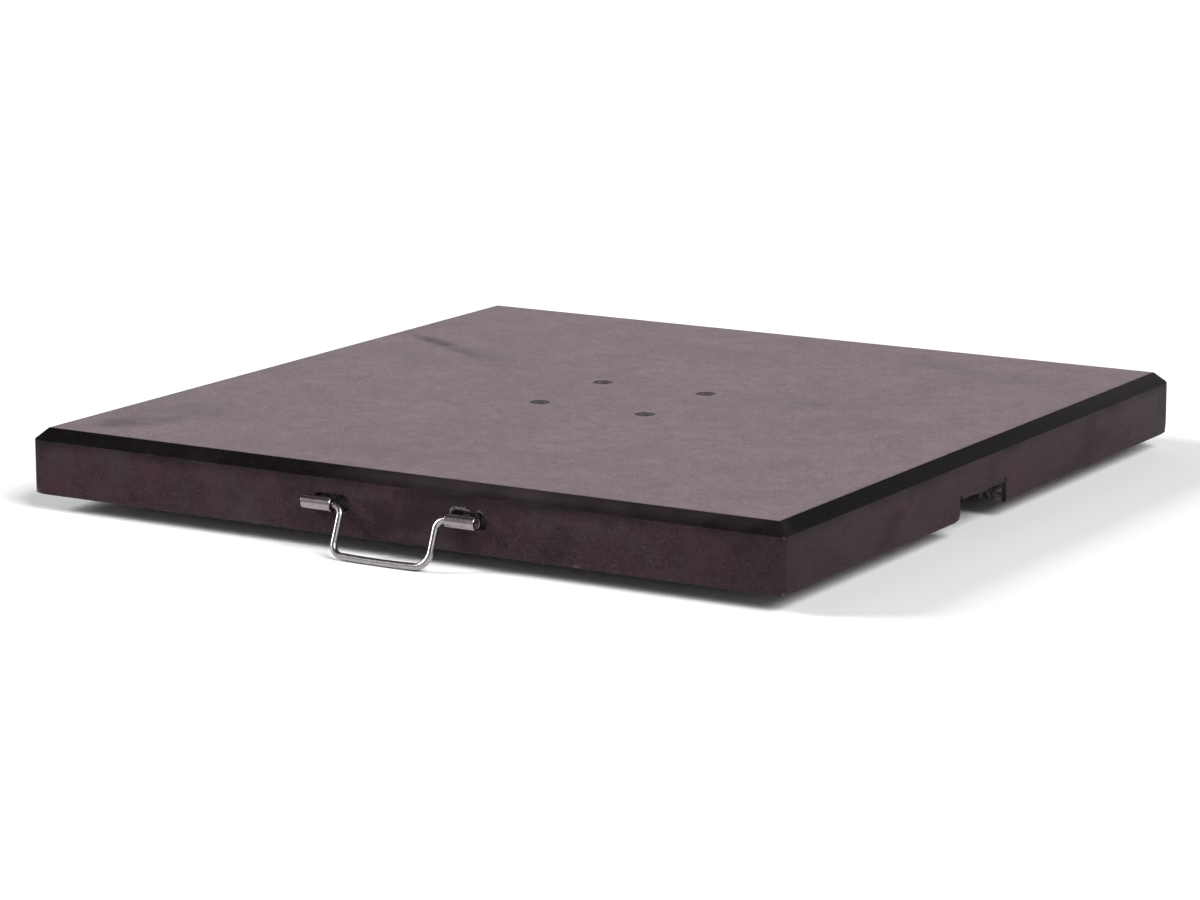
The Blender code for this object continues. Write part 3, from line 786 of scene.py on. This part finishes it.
hinges = {}
for side_name, way, across in HANDLES:
    low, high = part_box(f"{side_name}_{across}_sleeve")
    middle = to_side((np.array(low) + np.array(high)) / 2.0, way)
    hinges[side_name, across] = middle
    mouth = middle + np.array([POCKET_SHIFTS[across], HINGE_OUT, 0.0])
    seed = 60 + 7 * len(hinges)
    pocket = pocket_sheet(mouth, *LIP_CHIPS[across], seed)
    add_cutter(f"pocket_{side_name}_{across}", [(to_side(pocket, way), BROKEN)])
    start = HINGE_OUT + POCKET_DEPTH / 2
    profile = [(0.0, start), (STUD_HOLE, start), (STUD_HOLE, STUD_HOLE_END), (0.0, STUD_HOLE_END)]
    hole = turned(profile, 1, middle, 48)
    add_cutter(f"stud_hole_{side_name}_{across}", [(to_side(hole, way), DRILLED)])


# ---- Plug holes for the feet --------------------------------------------------------------------
# A blind hole drilled up into the underside near each corner takes the nylon plug of a foot.

PLUG_HOLE = 0.0049  # radius
PLUG_HOLE_TOP = 0.0502
FEET = ("front_left", "front_right", "back_left", "back_right")

for number, foot in enumerate(FEET):
    low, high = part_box(f"foot_plug_{foot}")
    middle = (*((low + high) / 2.0)[:2], 0.0)
    profile = [
        (0.0, BASE - PAST),
        (PLUG_HOLE, BASE - PAST),
        (PLUG_HOLE, BASE),
        (PLUG_HOLE, BASE + 0.0012),
        (PLUG_HOLE, PLUG_HOLE_TOP),
        (0.0, PLUG_HOLE_TOP + 0.0016),
    ]
    rag = 0.001 * np.array([0.0, 1.0, 0.9, 0.0, 0.0, 0.0])
    finish = [DRILLED, BROKEN, BROKEN, DRILLED, DRILLED]
    add_cutter(f"plug_hole_{foot}", [(turned(profile, 2, middle, 40, rag, 90 + number), finish)])


# ---- Cutting the stone --------------------------------------------------------------------------
# All the shapes above come out of the plate together. Afterwards each point is given its bruise:
# how much crushed stone shows there, from the wear of the edges and the lips of the cuts.

CRUSHED_DEPTH = 0.00045  # loss of stone that leaves it fully crushed

bites = plate.modifiers.new("bites", "BOOLEAN")
bites.operation = "DIFFERENCE"
bites.solver = "MANIFOLD"
bites.operand_type = "COLLECTION"
bites.collection = cutters
seen = bpy.context.evaluated_depsgraph_get()
cut_mesh = bpy.data.meshes.new_from_object(plate.evaluated_get(seen))
plate.modifiers.clear()
plate.data = cut_mesh
cut_mesh.name = "granite_plate"
for shape in list(cutters.objects):
    bpy.data.objects.remove(shape)
bpy.data.collections.remove(cutters)

cut_points = np.zeros(len(cut_mesh.vertices) * 3, np.float32)
cut_mesh.vertices.foreach_get("co", cut_points)
cut_points = cut_points.reshape(-1, 3)
# Points that the cuts left alone are found by their place, and keep the depth of their wear.
places = np.concatenate([skin_points.reshape(-1, 3).astype(np.float32), cut_points])
places = np.round(places * 1e6).astype(np.int64)
same = np.unique(places, axis=0, return_inverse=True)[1].ravel()
worn_depth = np.zeros(same.max() + 1)
np.maximum.at(worn_depth, same[: depth.size], depth.ravel())
bruise = np.clip(0.6 * (worn_depth[same[depth.size :]] / CRUSHED_DEPTH - 0.55), 0.0, 0.7)
chips = 0.5 * bruise
for (side_name, across), middle in hinges.items():
    way = 1 if side_name == "front" else -1
    local = to_side(cut_points, way) - (middle + np.array([POCKET_SHIFTS[across], HINGE_OUT, 0.0]))
    reach = (POCKET_LENGTH - POCKET_HEIGHT) / 2
    away = np.hypot(local[:, 0] - np.clip(local[:, 0], -reach, reach), local[:, 2]) - POCKET_HEIGHT / 2
    lip = np.exp(-((away / 0.0060) ** 2)) * np.exp(-((local[:, 1] / 0.0006) ** 2))
    upper, lower = LIP_CHIPS[across]
    size = lower + (upper - lower) * np.clip(0.5 + 120.0 * local[:, 2], 0.0, 1.0)
    lip *= np.clip(0.7 * (size - 0.4), 0.0, 1.0)
    chips = np.maximum(chips, lip * np.clip(0.7 + 0.9 * lattice_noise(cut_points, 0.005, 77), 0.0, 1.0))
for name, amount in (("bruise", bruise), ("chips", chips)):
    marks = cut_mesh.attributes.new(name, "FLOAT", "POINT")
    marks.data.foreach_set("value", amount.astype(np.float32))
cut_mesh.shade_smooth()
cut_mesh.set_sharp_from_angle(angle=math.radians(STONE_SHARP))


# ---- Resin round the studs ----------------------------------------------------------------------
# Grey anchor resin fills the hole round each stud. A little was squeezed out over the floor
# of the pocket when the stud went in, and set there as an uneven collar.

STUD_RADIUS = 0.0040
STUD_END = 0.0440  # from the hinge axis
GAP = 0.0003  # between pieces that touch


def worn_profile(corners, wear):
    """A profile through the corners with each worn round over the wear, and points only near them.
    Its two ends stay where they are."""
    corners = np.asarray(corners, float)
    near = lengths_along(corners)[:, None] + wear * np.linspace(-1.5, 1.5, 7)
    near = np.unique(np.clip(near, 0.0, lengths_along(corners)[-1]).round(7))
    points = worn_line(corners, near, wear)
    points[0] = corners[0]
    points[-1] = corners[-1]
    return points


resin, tree, shader, coords = start_material("anchor_resin", Specular_IOR_Level=0.4)
sand = cloud(tree, coords, 900.0, 3.0)
colour = tones(tree, sand, (0.3, (0.050, 0.046, 0.043)), (0.7, (0.110, 0.102, 0.094)))
tree.links.new(colour, shader.inputs["Base Color"])
tree.links.new(between(tree, sand, 0.3, 0.7, 0.5, 0.75), shader.inputs["Roughness"])
bump(tree, shader, cloud(tree, coords, 600.0, 4.0), 0.6, 0.0003)

for number, (side_name, way, across) in enumerate(HANDLES):
    middle = hinges[side_name, across]
    mouth = HINGE_OUT + POCKET_DEPTH + GAP
    bore = STUD_RADIUS + GAP
    outer = STUD_HOLE - GAP
    back = STUD_HOLE_END - GAP
    corners = [
        (bore, mouth + 0.004),
        (bore, mouth - 0.0012),
        (outer + 0.0006, mouth - 0.0009),
        (outer + 0.0003, mouth + 0.0002),
        (outer, mouth + 0.0012),
        (outer, back),
        (0.0, back),
        (0.0, STUD_END + GAP),
        (bore, STUD_END + GAP),
        (bore, mouth + 0.004),
    ]
    profile = worn_profile(corners, 0.0003)
    collar = np.exp(-(((profile[:, 1] - mouth + 0.0006) / 0.0010) ** 2)) * (profile[:, 0] > bore + 0.0006)
    sheet = turned(profile, 1, middle, 64, 0.0014 * collar, 110 + number, 0.0030)
    mesh = surface_mesh(f"{side_name}_{across}_resin", [(to_side(sheet, way), 0)], [resin], 50.0)
    fill = add_piece(mesh, "plate", "resin", f"{side_name}_{across}_resin")
    fill.name = f"{side_name}_{across}_resin_fill"


# ---- Studs and their welds ----------------------------------------------------------------------
# A length of threaded stainless rod holds each sleeve. Its end is ground to a saddle that fits the
# sleeve, and a bead of weld runs round the joint, darkened and coloured by the heat.

SLEEVE_OUT = 0.0060  # radius
THREAD_PITCH = 0.00125
THREAD_DEPTH = 0.00055
THREAD_START = 0.0085
WELD_RADIUS = 0.0009


def stainless(name, low, high, along, across, strength=0.12, tone=(0.37, 0.335, 0.34)):
    """Brushed stainless steel: fine scratches along the piece's own UV, a little dull bloom."""
    made, tree, shader, coords = start_material(name, Metallic=1.0)
    uv = node(tree, "TexCoord").outputs["UV"]
    fine = cloud(tree, uv, 1.0, 4.0, 0.6, (along, across, 1.0))
    bloom = cloud(tree, coords, 260.0, 4.0)
    dull = [0.76 * part for part in tone]
    colour = tones(tree, bloom, (0.3, dull), (0.7, tone))
    colour = mixed(tree, between(tree, fine, 0.35, 0.65, 0.0, 0.25), colour, (0.20, 0.18, 0.182, 1.0))
    tree.links.new(colour, shader.inputs["Base Color"])
    rough = plus(tree, between(tree, fine, 0.3, 0.7, low, high), times(tree, bloom, 0.06))
    tree.links.new(rough, shader.inputs["Roughness"])
    bump(tree, shader, fine, strength, 0.00005)
    return made


stud_steel = stainless("stud_steel", 0.28, 0.42, 900.0, 500.0)
weld_steel, tree, shader, coords = start_material("weld_steel", Metallic=1.0)
heat = cloud(tree, coords, 420.0, 3.0)
colour = tones(
    tree,
    heat,
    (0.30, (0.20, 0.16, 0.13)),
    (0.45, (0.42, 0.33, 0.22)),
    (0.58, (0.30, 0.28, 0.33)),
    (0.75, (0.50, 0.48, 0.46)),
)
tree.links.new(colour, shader.inputs["Base Color"])
tree.links.new(between(tree, heat, 0.3, 0.7, 0.34, 0.55), shader.inputs["Roughness"])
bump(tree, shader, cloud(tree, coords, 1800.0, 2.0), 0.3, 0.0001)


def on_sleeve(radius, angle, lift):
    """Distance from the hinge axis of a point that lies over the sleeve's round back, lift above it."""
    return np.sqrt((SLEEVE_OUT + lift) ** 2 - (radius * np.sin(angle)) ** 2)


for number, (side_name, way, across) in enumerate(HANDLES):
    middle = hinges[side_name, across]
    angle = np.linspace(0.0, math.tau, 37)
    saddle = [
        (share * STUD_RADIUS, on_sleeve(share * STUD_RADIUS, angle, 0.0001))
        for share in (0.0, 0.4, 0.75, 1.0)
    ]
    reach = np.arange(THREAD_START, STUD_END - 0.0008, THREAD_PITCH / 8.0)
    phase = reach[:, None] / THREAD_PITCH - angle / math.tau
    tooth = np.abs(2.0 * (phase - np.floor(phase)) - 1.0)
    started = np.clip((reach - THREAD_START) / 0.0012, 0.0, 1.0)[:, None]
    radius = STUD_RADIUS - THREAD_DEPTH * started * np.clip(1.25 * tooth - 0.12, 0.0, 1.0)
    ended = [(radius[-1] - 0.0007, STUD_END), (0.0, STUD_END)]
    rows = saddle + list(zip(radius, reach)) + ended
    radii = np.array([np.broadcast_to(row[0], 37) for row in rows])
    depths = np.array([np.broadcast_to(row[1], 37) for row in rows])
    sheet = np.stack([radii * np.cos(angle), depths, radii * np.sin(angle)], axis=-1) + middle
    around = np.broadcast_to(angle * STUD_RADIUS, radii.shape)
    uv = np.stack([depths, around], axis=-1)
    mesh = surface_mesh(f"{side_name}_{across}_stud", [(to_side(sheet, way), 0)], [stud_steel], 30.0, [uv])
    stud = add_piece(mesh, "plate", "stainless", f"{side_name}_{across}_stud")
    stud.name = f"{side_name}_{across}_threaded_stud"

    angle = np.linspace(0.0, math.tau, 97)[:, None]
    round_bead = np.linspace(0.0, math.tau, 13)[None, :]
    ripple = 1.0 + 0.10 * np.sin(26.0 * angle + number) + 0.08 * np.sin(7.0 * angle + 2.0 * number)
    bead = WELD_RADIUS * ripple
    ring = STUD_RADIUS + 0.0003 + bead * np.cos(round_bead)
    lift = on_sleeve(STUD_RADIUS + 0.0003, angle, 0.0002) + bead * np.sin(round_bead)
    sheet = np.stack([ring * np.cos(angle), lift, ring * np.sin(angle)], axis=-1) + middle
    mesh = surface_mesh(f"{side_name}_{across}_weld", [(to_side(sheet, way), 0)], [weld_steel], 60.0)
    add_piece(mesh, "plate", "stainless")


# ---- Sleeves ------------------------------------------------------------------------------------
# A short piece of thick stainless tube at each end of a handle is its bearing. Both ends are sawn,
# with the burr taken off, and the outside is ground lengthwise.

SLEEVE_BORE = 0.0042  # radius
SLEEVE_BREAK = 0.0004
BORE_BREAK = 0.00015

sleeve_steel = stainless("sleeve_steel", 0.15, 0.21, 160.0, 2600.0, 0.08, (0.35, 0.298, 0.312))
bore_steel, tree, shader, coords = start_material("sleeve_bore", Metallic=1.0)
soot = cloud(tree, coords, 700.0, 3.0)
colour = tones(tree, soot, (0.3, (0.16, 0.15, 0.14)), (0.7, (0.30, 0.28, 0.27)))
tree.links.new(colour, shader.inputs["Base Color"])
tree.links.new(between(tree, soot, 0.3, 0.7, 0.45, 0.65), shader.inputs["Roughness"])
bump(tree, shader, soot, 0.4, 0.0001)

for side_name, way, across in HANDLES:
    low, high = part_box(f"{side_name}_{across}_sleeve")
    half = (high[0] - low[0]) / 2.0
    outside = [
        (SLEEVE_BORE + BORE_BREAK, -half),
        (SLEEVE_OUT - SLEEVE_BREAK, -half),
        (SLEEVE_OUT, -half + SLEEVE_BREAK),
        (SLEEVE_OUT, half - SLEEVE_BREAK),
        (SLEEVE_OUT - SLEEVE_BREAK, half),
        (SLEEVE_BORE + BORE_BREAK, half),
    ]
    outside = worn_profile(outside, 0.00012)
    bore = [(SLEEVE_BORE + BORE_BREAK, half), (SLEEVE_BORE, half - 0.0002), (SLEEVE_BORE, -half + 0.0002)]
    bore = np.array(bore + [(SLEEVE_BORE + BORE_BREAK, -half)])
    sheets = []
    uvs = []
    for finish, profile in enumerate((outside, bore)):
        sheet = turned(profile, 0, hinges[side_name, across], 64)
        run = lengths_along(profile)[:, None] + 0.0 * sheet[..., 0]
        around = np.broadcast_to(np.linspace(0.0, math.tau * SLEEVE_OUT, 65), run.shape)
        uvs.append(np.stack([run, around], axis=-1))
        sheets.append((to_side(sheet, way), finish))
    mesh = surface_mesh(f"{side_name}_{across}_sleeve", sheets, [sleeve_steel, bore_steel], 28.0, uvs)
    sleeve = add_piece(mesh, "plate", "stainless", f"{side_name}_{across}_sleeve")
    sleeve.name = f"{side_name}_{across}_hinge_sleeve"


# ---- Bails --------------------------------------------------------------------------------------
# Each handle is one 6 mm stainless rod, bent to a flat loop with its ends turned out into the
# sleeves, where it turns freely. It leans out until its bar is just clear of the floor.

WIRE = 0.00296  # radius
ARM_HALF = 0.0478
ARM_LENGTH = 0.0415
BAR_BOW = 0.0012
BEND_RADII = (0.0085, 0.0100, 1.0, 0.0135, 0.0085)
SLEEVE_GAP = 0.0008  # between the bend and the sleeve
TURNED_IN = 0.0210  # length of rod in a sleeve
TIP = ARM_HALF + BEND_RADII[0] + SLEEVE_GAP + TURNED_IN
BEND_POINTS = 16
HINGE_RISE = 0.0427  # above the floor
LEAN = math.acos((HINGE_RISE - WIRE - GAP) / (ARM_LENGTH + BAR_BOW))
END_ROUND = 0.0003


def bent_line(corners, radii, count):
    """A line through the corners with an arc at each inner one. An arc's middle lies on the bisector,
    radius / sin(half the corner's angle) from the corner, and its points turn evenly from one
    tangent point to the other."""
    points = [corners[:1]]
    for before, corner, after, radius in zip(corners, corners[1:], corners[2:], radii):
        back = (before - corner) / np.linalg.norm(before - corner)
        ahead = (after - corner) / np.linalg.norm(after - corner)
        half = math.acos(float(back @ ahead)) / 2.0
        centre = corner + (back + ahead) / np.linalg.norm(back + ahead) * radius / math.sin(half)
        first = corner + back * radius / math.tan(half) - centre
        last = corner + ahead * radius / math.tan(half) - centre
        sweep = math.pi - 2.0 * half
        share = np.linspace(0.0, 1.0, count)[:, None]
        spoke = (first * np.sin((1 - share) * sweep) + last * np.sin(share * sweep)) / math.sin(sweep)
        points.append(centre + spoke)
    points.append(corners[-1:])
    return np.concatenate(points)


bail_steel = stainless("bail_steel", 0.20, 0.28, 110.0, 2400.0, 0.08, (0.385, 0.362, 0.368))

for side_name, way in (("front", 1), ("back", -1)):
    corners = np.array(
        [
            (-TIP, 0.0, 0.0),
            (-ARM_HALF, 0.0, 0.0),
            (-ARM_HALF, 0.0, -ARM_LENGTH),
            (0.0, 0.0, -ARM_LENGTH - BAR_BOW),
            (ARM_HALF, 0.0, -ARM_LENGTH),
            (ARM_HALF, 0.0, 0.0),
            (TIP, 0.0, 0.0),
        ]
    )
    bent = bent_line(corners, BEND_RADII, BEND_POINTS)
    total = lengths_along(bent)[-1]
    stops = np.unique(np.concatenate([lengths_along(bent), np.linspace(0.0, total, 90)]).round(6))
    stops = stops[np.concatenate([[True], np.diff(stops) > 0.0002])]
    line = worn_line(bent, stops, 0.0)
    line[-1] = bent[-1]
    ahead = np.gradient(line, stops, axis=0)
    ahead /= np.linalg.norm(ahead, axis=1, keepdims=True)
    outward = np.cross(ahead, [0.0, 1.0, 0.0])
    # Three rings close each cut end, with its sharp edge filed round.
    shares = np.concatenate([[0.0, 0.82, 0.95], np.ones(len(line)), [0.95, 0.82, 0.0]])
    pushed = END_ROUND * np.concatenate([[0.0, 0.0, 0.25], np.zeros(len(line)), [-0.25, 0.0, 0.0]])
    picked = np.concatenate([[0, 0, 0], np.arange(len(line)), [-1, -1, -1]])
    line = line[picked]
    ahead = ahead[picked]
    outward = outward[picked]
    stops = stops[picked]
    line[3] += END_ROUND * ahead[3]
    line[-4] -= END_ROUND * ahead[-4]
    angle = np.linspace(0.0, math.tau, 33)[None, :, None]
    radius = (WIRE * shares)[:, None, None]
    tube = line[:, None, :] + pushed[:, None, None] * ahead[:, None, :]
    tube = tube + radius * (np.cos(angle) * outward[:, None, :] + np.sin(angle) * np.array([0.0, 1.0, 0.0]))
    lean_cos = math.cos(-LEAN)
    lean_sin = math.sin(-LEAN)
    leant = tube.copy()
    leant[..., 1] = tube[..., 1] * lean_cos - tube[..., 2] * lean_sin
    leant[..., 2] = tube[..., 1] * lean_sin + tube[..., 2] * lean_cos
    hinge = (hinges[side_name, "left"] + hinges[side_name, "right"]) / 2.0
    along = np.broadcast_to(stops[:, None], leant.shape[:2])
    around = np.broadcast_to(angle[..., 0] * WIRE, leant.shape[:2])
    uv = np.stack([along, around], axis=-1)
    mesh = surface_mesh(f"{side_name}_bail_rod", [(to_side(leant + hinge, way), 0)], [bail_steel], 40.0, [uv])
    add_piece(mesh, f"{side_name}_bail_body", "stainless", f"{side_name}_bail")


# ---- Plugs, feet, washers and screws ------------------------------------------------------------
# Each foot is a moulded rubber disc. A stainless screw and washer hold it from below, in a nylon
# plug pushed up into the stone. Its sole is recessed round the screw's head.

FOOT_RADIUS = 0.0210
FOOT_TOP_RADIUS = 0.0190
FOOT_HEIGHT = 0.0147
SCREW_HOLE = 0.0028  # radius
SINK_RADIUS = 0.0080
SINK_DEPTH = 0.0070
SCREW_RADIUS = 0.0025
HEAD_RADIUS = 0.00475
SOCKET_FLATS = 0.0019  # middle of the hexagon to a flat
SCREW_THREAD = 0.0016
HEAD_HEIGHT = 0.0032
SOCKET_DEPTH = 0.0018
RIB_DEPTH = 0.00045
RIB_PITCH = 0.0025

rubber, tree, shader, coords = start_material("black_rubber", Specular_IOR_Level=0.35)
dust = cloud(tree, coords, 120.0, 5.0, 0.6)
colour = tones(tree, dust, (0.35, (0.014, 0.014, 0.015)), (0.75, (0.040, 0.038, 0.037)))
tree.links.new(colour, shader.inputs["Base Color"])
tree.links.new(between(tree, dust, 0.3, 0.7, 0.62, 0.82), shader.inputs["Roughness"])
bump(tree, shader, cloud(tree, coords, 1500.0, 3.0), 0.35, 0.0001)
nylon, tree, shader, coords = start_material("grey_nylon", Specular_IOR_Level=0.45, Subsurface_Weight=0.05)
mould = cloud(tree, coords, 500.0, 3.0)
colour = tones(tree, mould, (0.3, (0.37, 0.37, 0.38)), (0.7, (0.46, 0.46, 0.47)))
tree.links.new(colour, shader.inputs["Base Color"])
tree.links.new(between(tree, mould, 0.3, 0.7, 0.38, 0.52), shader.inputs["Roughness"])
bump(tree, shader, mould, 0.2, 0.0001)
washer_steel = stainless("washer_steel", 0.24, 0.38, 700.0, 700.0)
screw_steel = stainless("screw_steel", 0.20, 0.34, 900.0, 900.0)

for number, foot in enumerate(FEET):
    low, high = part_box(f"foot_{foot}")
    middle = np.array([*((low + high) / 2.0)[:2], 0.0])

    low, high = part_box(f"foot_plug_{foot}")
    outer = (high[0] - low[0]) / 2.0
    rise = np.arange(low[2] + 0.0010, high[2] - 0.0030, 0.00042)
    rib = RIB_DEPTH * ((rise - low[2]) / RIB_PITCH % 1.0)
    profile = [(SCREW_HOLE, low[2] + 0.012), (SCREW_HOLE, low[2]), (outer, low[2]), (outer, low[2] + 0.0008)]
    profile += list(zip(outer - rib, rise)) + [(outer - 0.0010, high[2] - 0.0004), (0.0, high[2])]
    profile += [(0.0, high[2] - 0.0027), (SCREW_HOLE, high[2] - 0.0027), (SCREW_HOLE, low[2] + 0.012)]
    mesh = surface_mesh(f"foot_plug_{foot}_ribbed", [(turned(profile, 2, middle, 48), 0)], [nylon])
    add_piece(mesh, "plate", "nylon", f"foot_plug_{foot}")

    corners = [
        (SCREW_HOLE, 0.010),
        (SCREW_HOLE, SINK_DEPTH),
        (SINK_RADIUS, SINK_DEPTH),
        (SINK_RADIUS, 0.0),
        (0.0115, 0.0),
        (0.0119, 0.0009),
        (0.0129, 0.0009),
        (0.0133, 0.0),
        (0.0158, 0.0),
        (0.0162, 0.0009),
        (0.0172, 0.0009),
        (0.0176, 0.0),
        (FOOT_RADIUS - 0.0010, 0.0),
        (FOOT_RADIUS, 0.0010),
        (FOOT_RADIUS, 0.0044),
        (FOOT_RADIUS - 0.0006, 0.0052),
        (FOOT_TOP_RADIUS, FOOT_HEIGHT - 0.0008),
        (FOOT_TOP_RADIUS - 0.0008, FOOT_HEIGHT),
        (SCREW_HOLE, FOOT_HEIGHT),
        (SCREW_HOLE, 0.010),
    ]
    sheet = turned(worn_profile(corners, 0.00022), 2, middle, 96)
    mesh = surface_mesh(f"foot_{foot}_disc", [(sheet, 0)], [rubber], 50.0)
    add_piece(mesh, "plate", "rubber", f"foot_{foot}")

    low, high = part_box(f"foot_washer_{foot}")
    edge = (high[0] - low[0]) / 2.0
    level = (low[2] + high[2]) / 2.0
    corners = [
        (SCREW_HOLE, level),
        (SCREW_HOLE, low[2]),
        (edge, low[2]),
        (edge, high[2]),
        (SCREW_HOLE, high[2]),
        (SCREW_HOLE, level),
    ]
    profile = worn_profile(corners, 0.00018)
    sheet = turned(profile, 2, middle, 64)
    uv = sheet[..., :2] - middle[:2]
    mesh = surface_mesh(f"foot_washer_{foot}_ring", [(sheet, 0)], [washer_steel], 30.0, [uv])
    add_piece(mesh, "plate", "stainless", f"foot_washer_{foot}")

    low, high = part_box(f"foot_screw_{foot}")
    seat = low[2] + HEAD_HEIGHT
    angle = np.linspace(0.0, math.tau, 73)
    hexagon = SOCKET_FLATS / np.cos((angle + math.pi / 6) % (math.pi / 3) - math.pi / 6)
    head = [
        (0.0, low[2] + SOCKET_DEPTH),
        (hexagon, low[2] + SOCKET_DEPTH),
        (hexagon, low[2] + 0.0002),
        (hexagon + 0.0002, low[2]),
        (0.74 * HEAD_RADIUS, low[2]),
        (0.88 * HEAD_RADIUS, low[2] + 0.0003),
        (0.97 * HEAD_RADIUS, low[2] + 0.0009),
        (HEAD_RADIUS, low[2] + 0.0016),
        (HEAD_RADIUS, seat - 0.0002),
        (HEAD_RADIUS - 0.0002, seat),
        (SCREW_RADIUS, seat),
    ]
    rise = np.arange(seat + 0.0004, high[2] - 0.0045, SCREW_THREAD / 7.0)
    phase = rise[:, None] / SCREW_THREAD - angle / math.tau
    groove = np.abs(2.0 * (phase - np.floor(phase)) - 1.0)
    threads = SCREW_RADIUS - 0.0006 * np.clip((rise - seat - 0.010) / 0.003, 0.0, 1.0)[:, None] * groove
    profile = head + list(zip(threads, rise)) + [(0.45 * SCREW_RADIUS, high[2] - 0.0016), (0.0, high[2])]
    sheet = turned(profile, 2, middle, 72)
    uv = sheet[..., :2] - middle[:2] + sheet[..., 2:]
    mesh = surface_mesh(f"foot_screw_{foot}_threaded", [(sheet, 0)], [screw_steel], 30.0, [uv])
    add_piece(mesh, "plate", "stainless", f"foot_screw_{foot}")


# ---- Floor, light and camera --------------------------------------------------------------------
# A wide pale floor under soft studio light: a large lamp to the front left, weaker ones to the right
# and behind, and a room that is bright low down and dark overhead, so that polished edges read dark.

FLOOR_REACH = 24.0

floor_paint, tree, shader, coords = start_material("pale_floor", Specular_IOR_Level=0.1)
cast = cloud(tree, coords, 0.8, 3.0)
colour = tones(tree, cast, (0.3, (0.83, 0.83, 0.83)), (0.7, (0.86, 0.86, 0.86)))
tree.links.new(colour, shader.inputs["Base Color"])
tree.links.new(between(tree, cast, 0.3, 0.7, 0.85, 0.92), shader.inputs["Roughness"])
steps = np.linspace(-FLOOR_REACH, FLOOR_REACH, 13)
floor_points = np.zeros((13, 13, 3))
floor_points[..., 0] = steps[None, :]
floor_points[..., 1] = steps[:, None]
floor_mesh = surface_mesh("floor", [(floor_points, 0)], [floor_paint])
floor = bpy.data.objects.new("floor", floor_mesh)
bpy.context.scene.collection.objects.link(floor)
if floor_mesh.polygons[0].normal.z < 0.0:
    floor_mesh.flip_normals()

room = bpy.data.worlds.new("studio")
bpy.context.scene.world = room
room.use_nodes = True
tree = room.node_tree
away = node(tree, "TexCoord").outputs["Generated"]
up = node(tree, "SeparateXYZ", {"Vector": away}).outputs["Z"]
glow = tones(
    tree,
    up,
    (0.0, (0.46, 0.46, 0.46)),
    (0.24, (0.46, 0.46, 0.46)),
    (0.52, (0.10, 0.10, 0.10)),
    (1.0, (0.07, 0.07, 0.07)),
)
tree.links.new(glow, tree.nodes["Background"].inputs["Color"])
tree.nodes["Background"].inputs["Strength"].default_value = 1.0

# Name, the way towards it, how wide it looks in degrees, power.
LAMPS = (
    ("key_lamp", (-0.84, -0.39, 0.45), 20.0, 3.4),
    ("right_lamp", (0.70, -0.30, 0.65), 34.0, 3.6),
    ("back_lamp", (-0.45, 0.72, 0.70), 40.0, 0.3),
)
for name, towards, width, power in LAMPS:
    lamp = bpy.data.lights.new(name, "SUN")
    lamp.angle = math.radians(width)
    lamp.energy = power
    stand = bpy.data.objects.new(name, lamp)
    bpy.context.scene.collection.objects.link(stand)
    stand.rotation_euler = Vector(towards).to_track_quat("Z", "Y").to_euler()

CAMERA_TURN = math.radians(31.20)
CAMERA_RISE = math.radians(11.82)
CAMERA_ROLL = math.radians(-0.14)
CAMERA_TARGET = Vector((0.102, -0.203, 0.0735))
CAMERA_DISTANCE = 3.440

lens = bpy.data.cameras.new("camera")
lens.sensor_width = 36.0
lens.lens = 121.23
lens.clip_end = 100.0
camera = bpy.data.objects.new("camera", lens)
bpy.context.scene.collection.objects.link(camera)
level = math.cos(CAMERA_RISE)
back = Vector((math.sin(CAMERA_TURN) * level, -math.cos(CAMERA_TURN) * level, math.sin(CAMERA_RISE)))
camera.location = CAMERA_TARGET + CAMERA_DISTANCE * back
aimed = (-back).to_track_quat("-Z", "Y").to_matrix() @ Euler((0.0, 0.0, CAMERA_ROLL)).to_matrix()
camera.rotation_euler = aimed.to_euler()
bpy.context.scene.camera = camera
bpy.context.scene.view_settings.view_transform = "Standard"
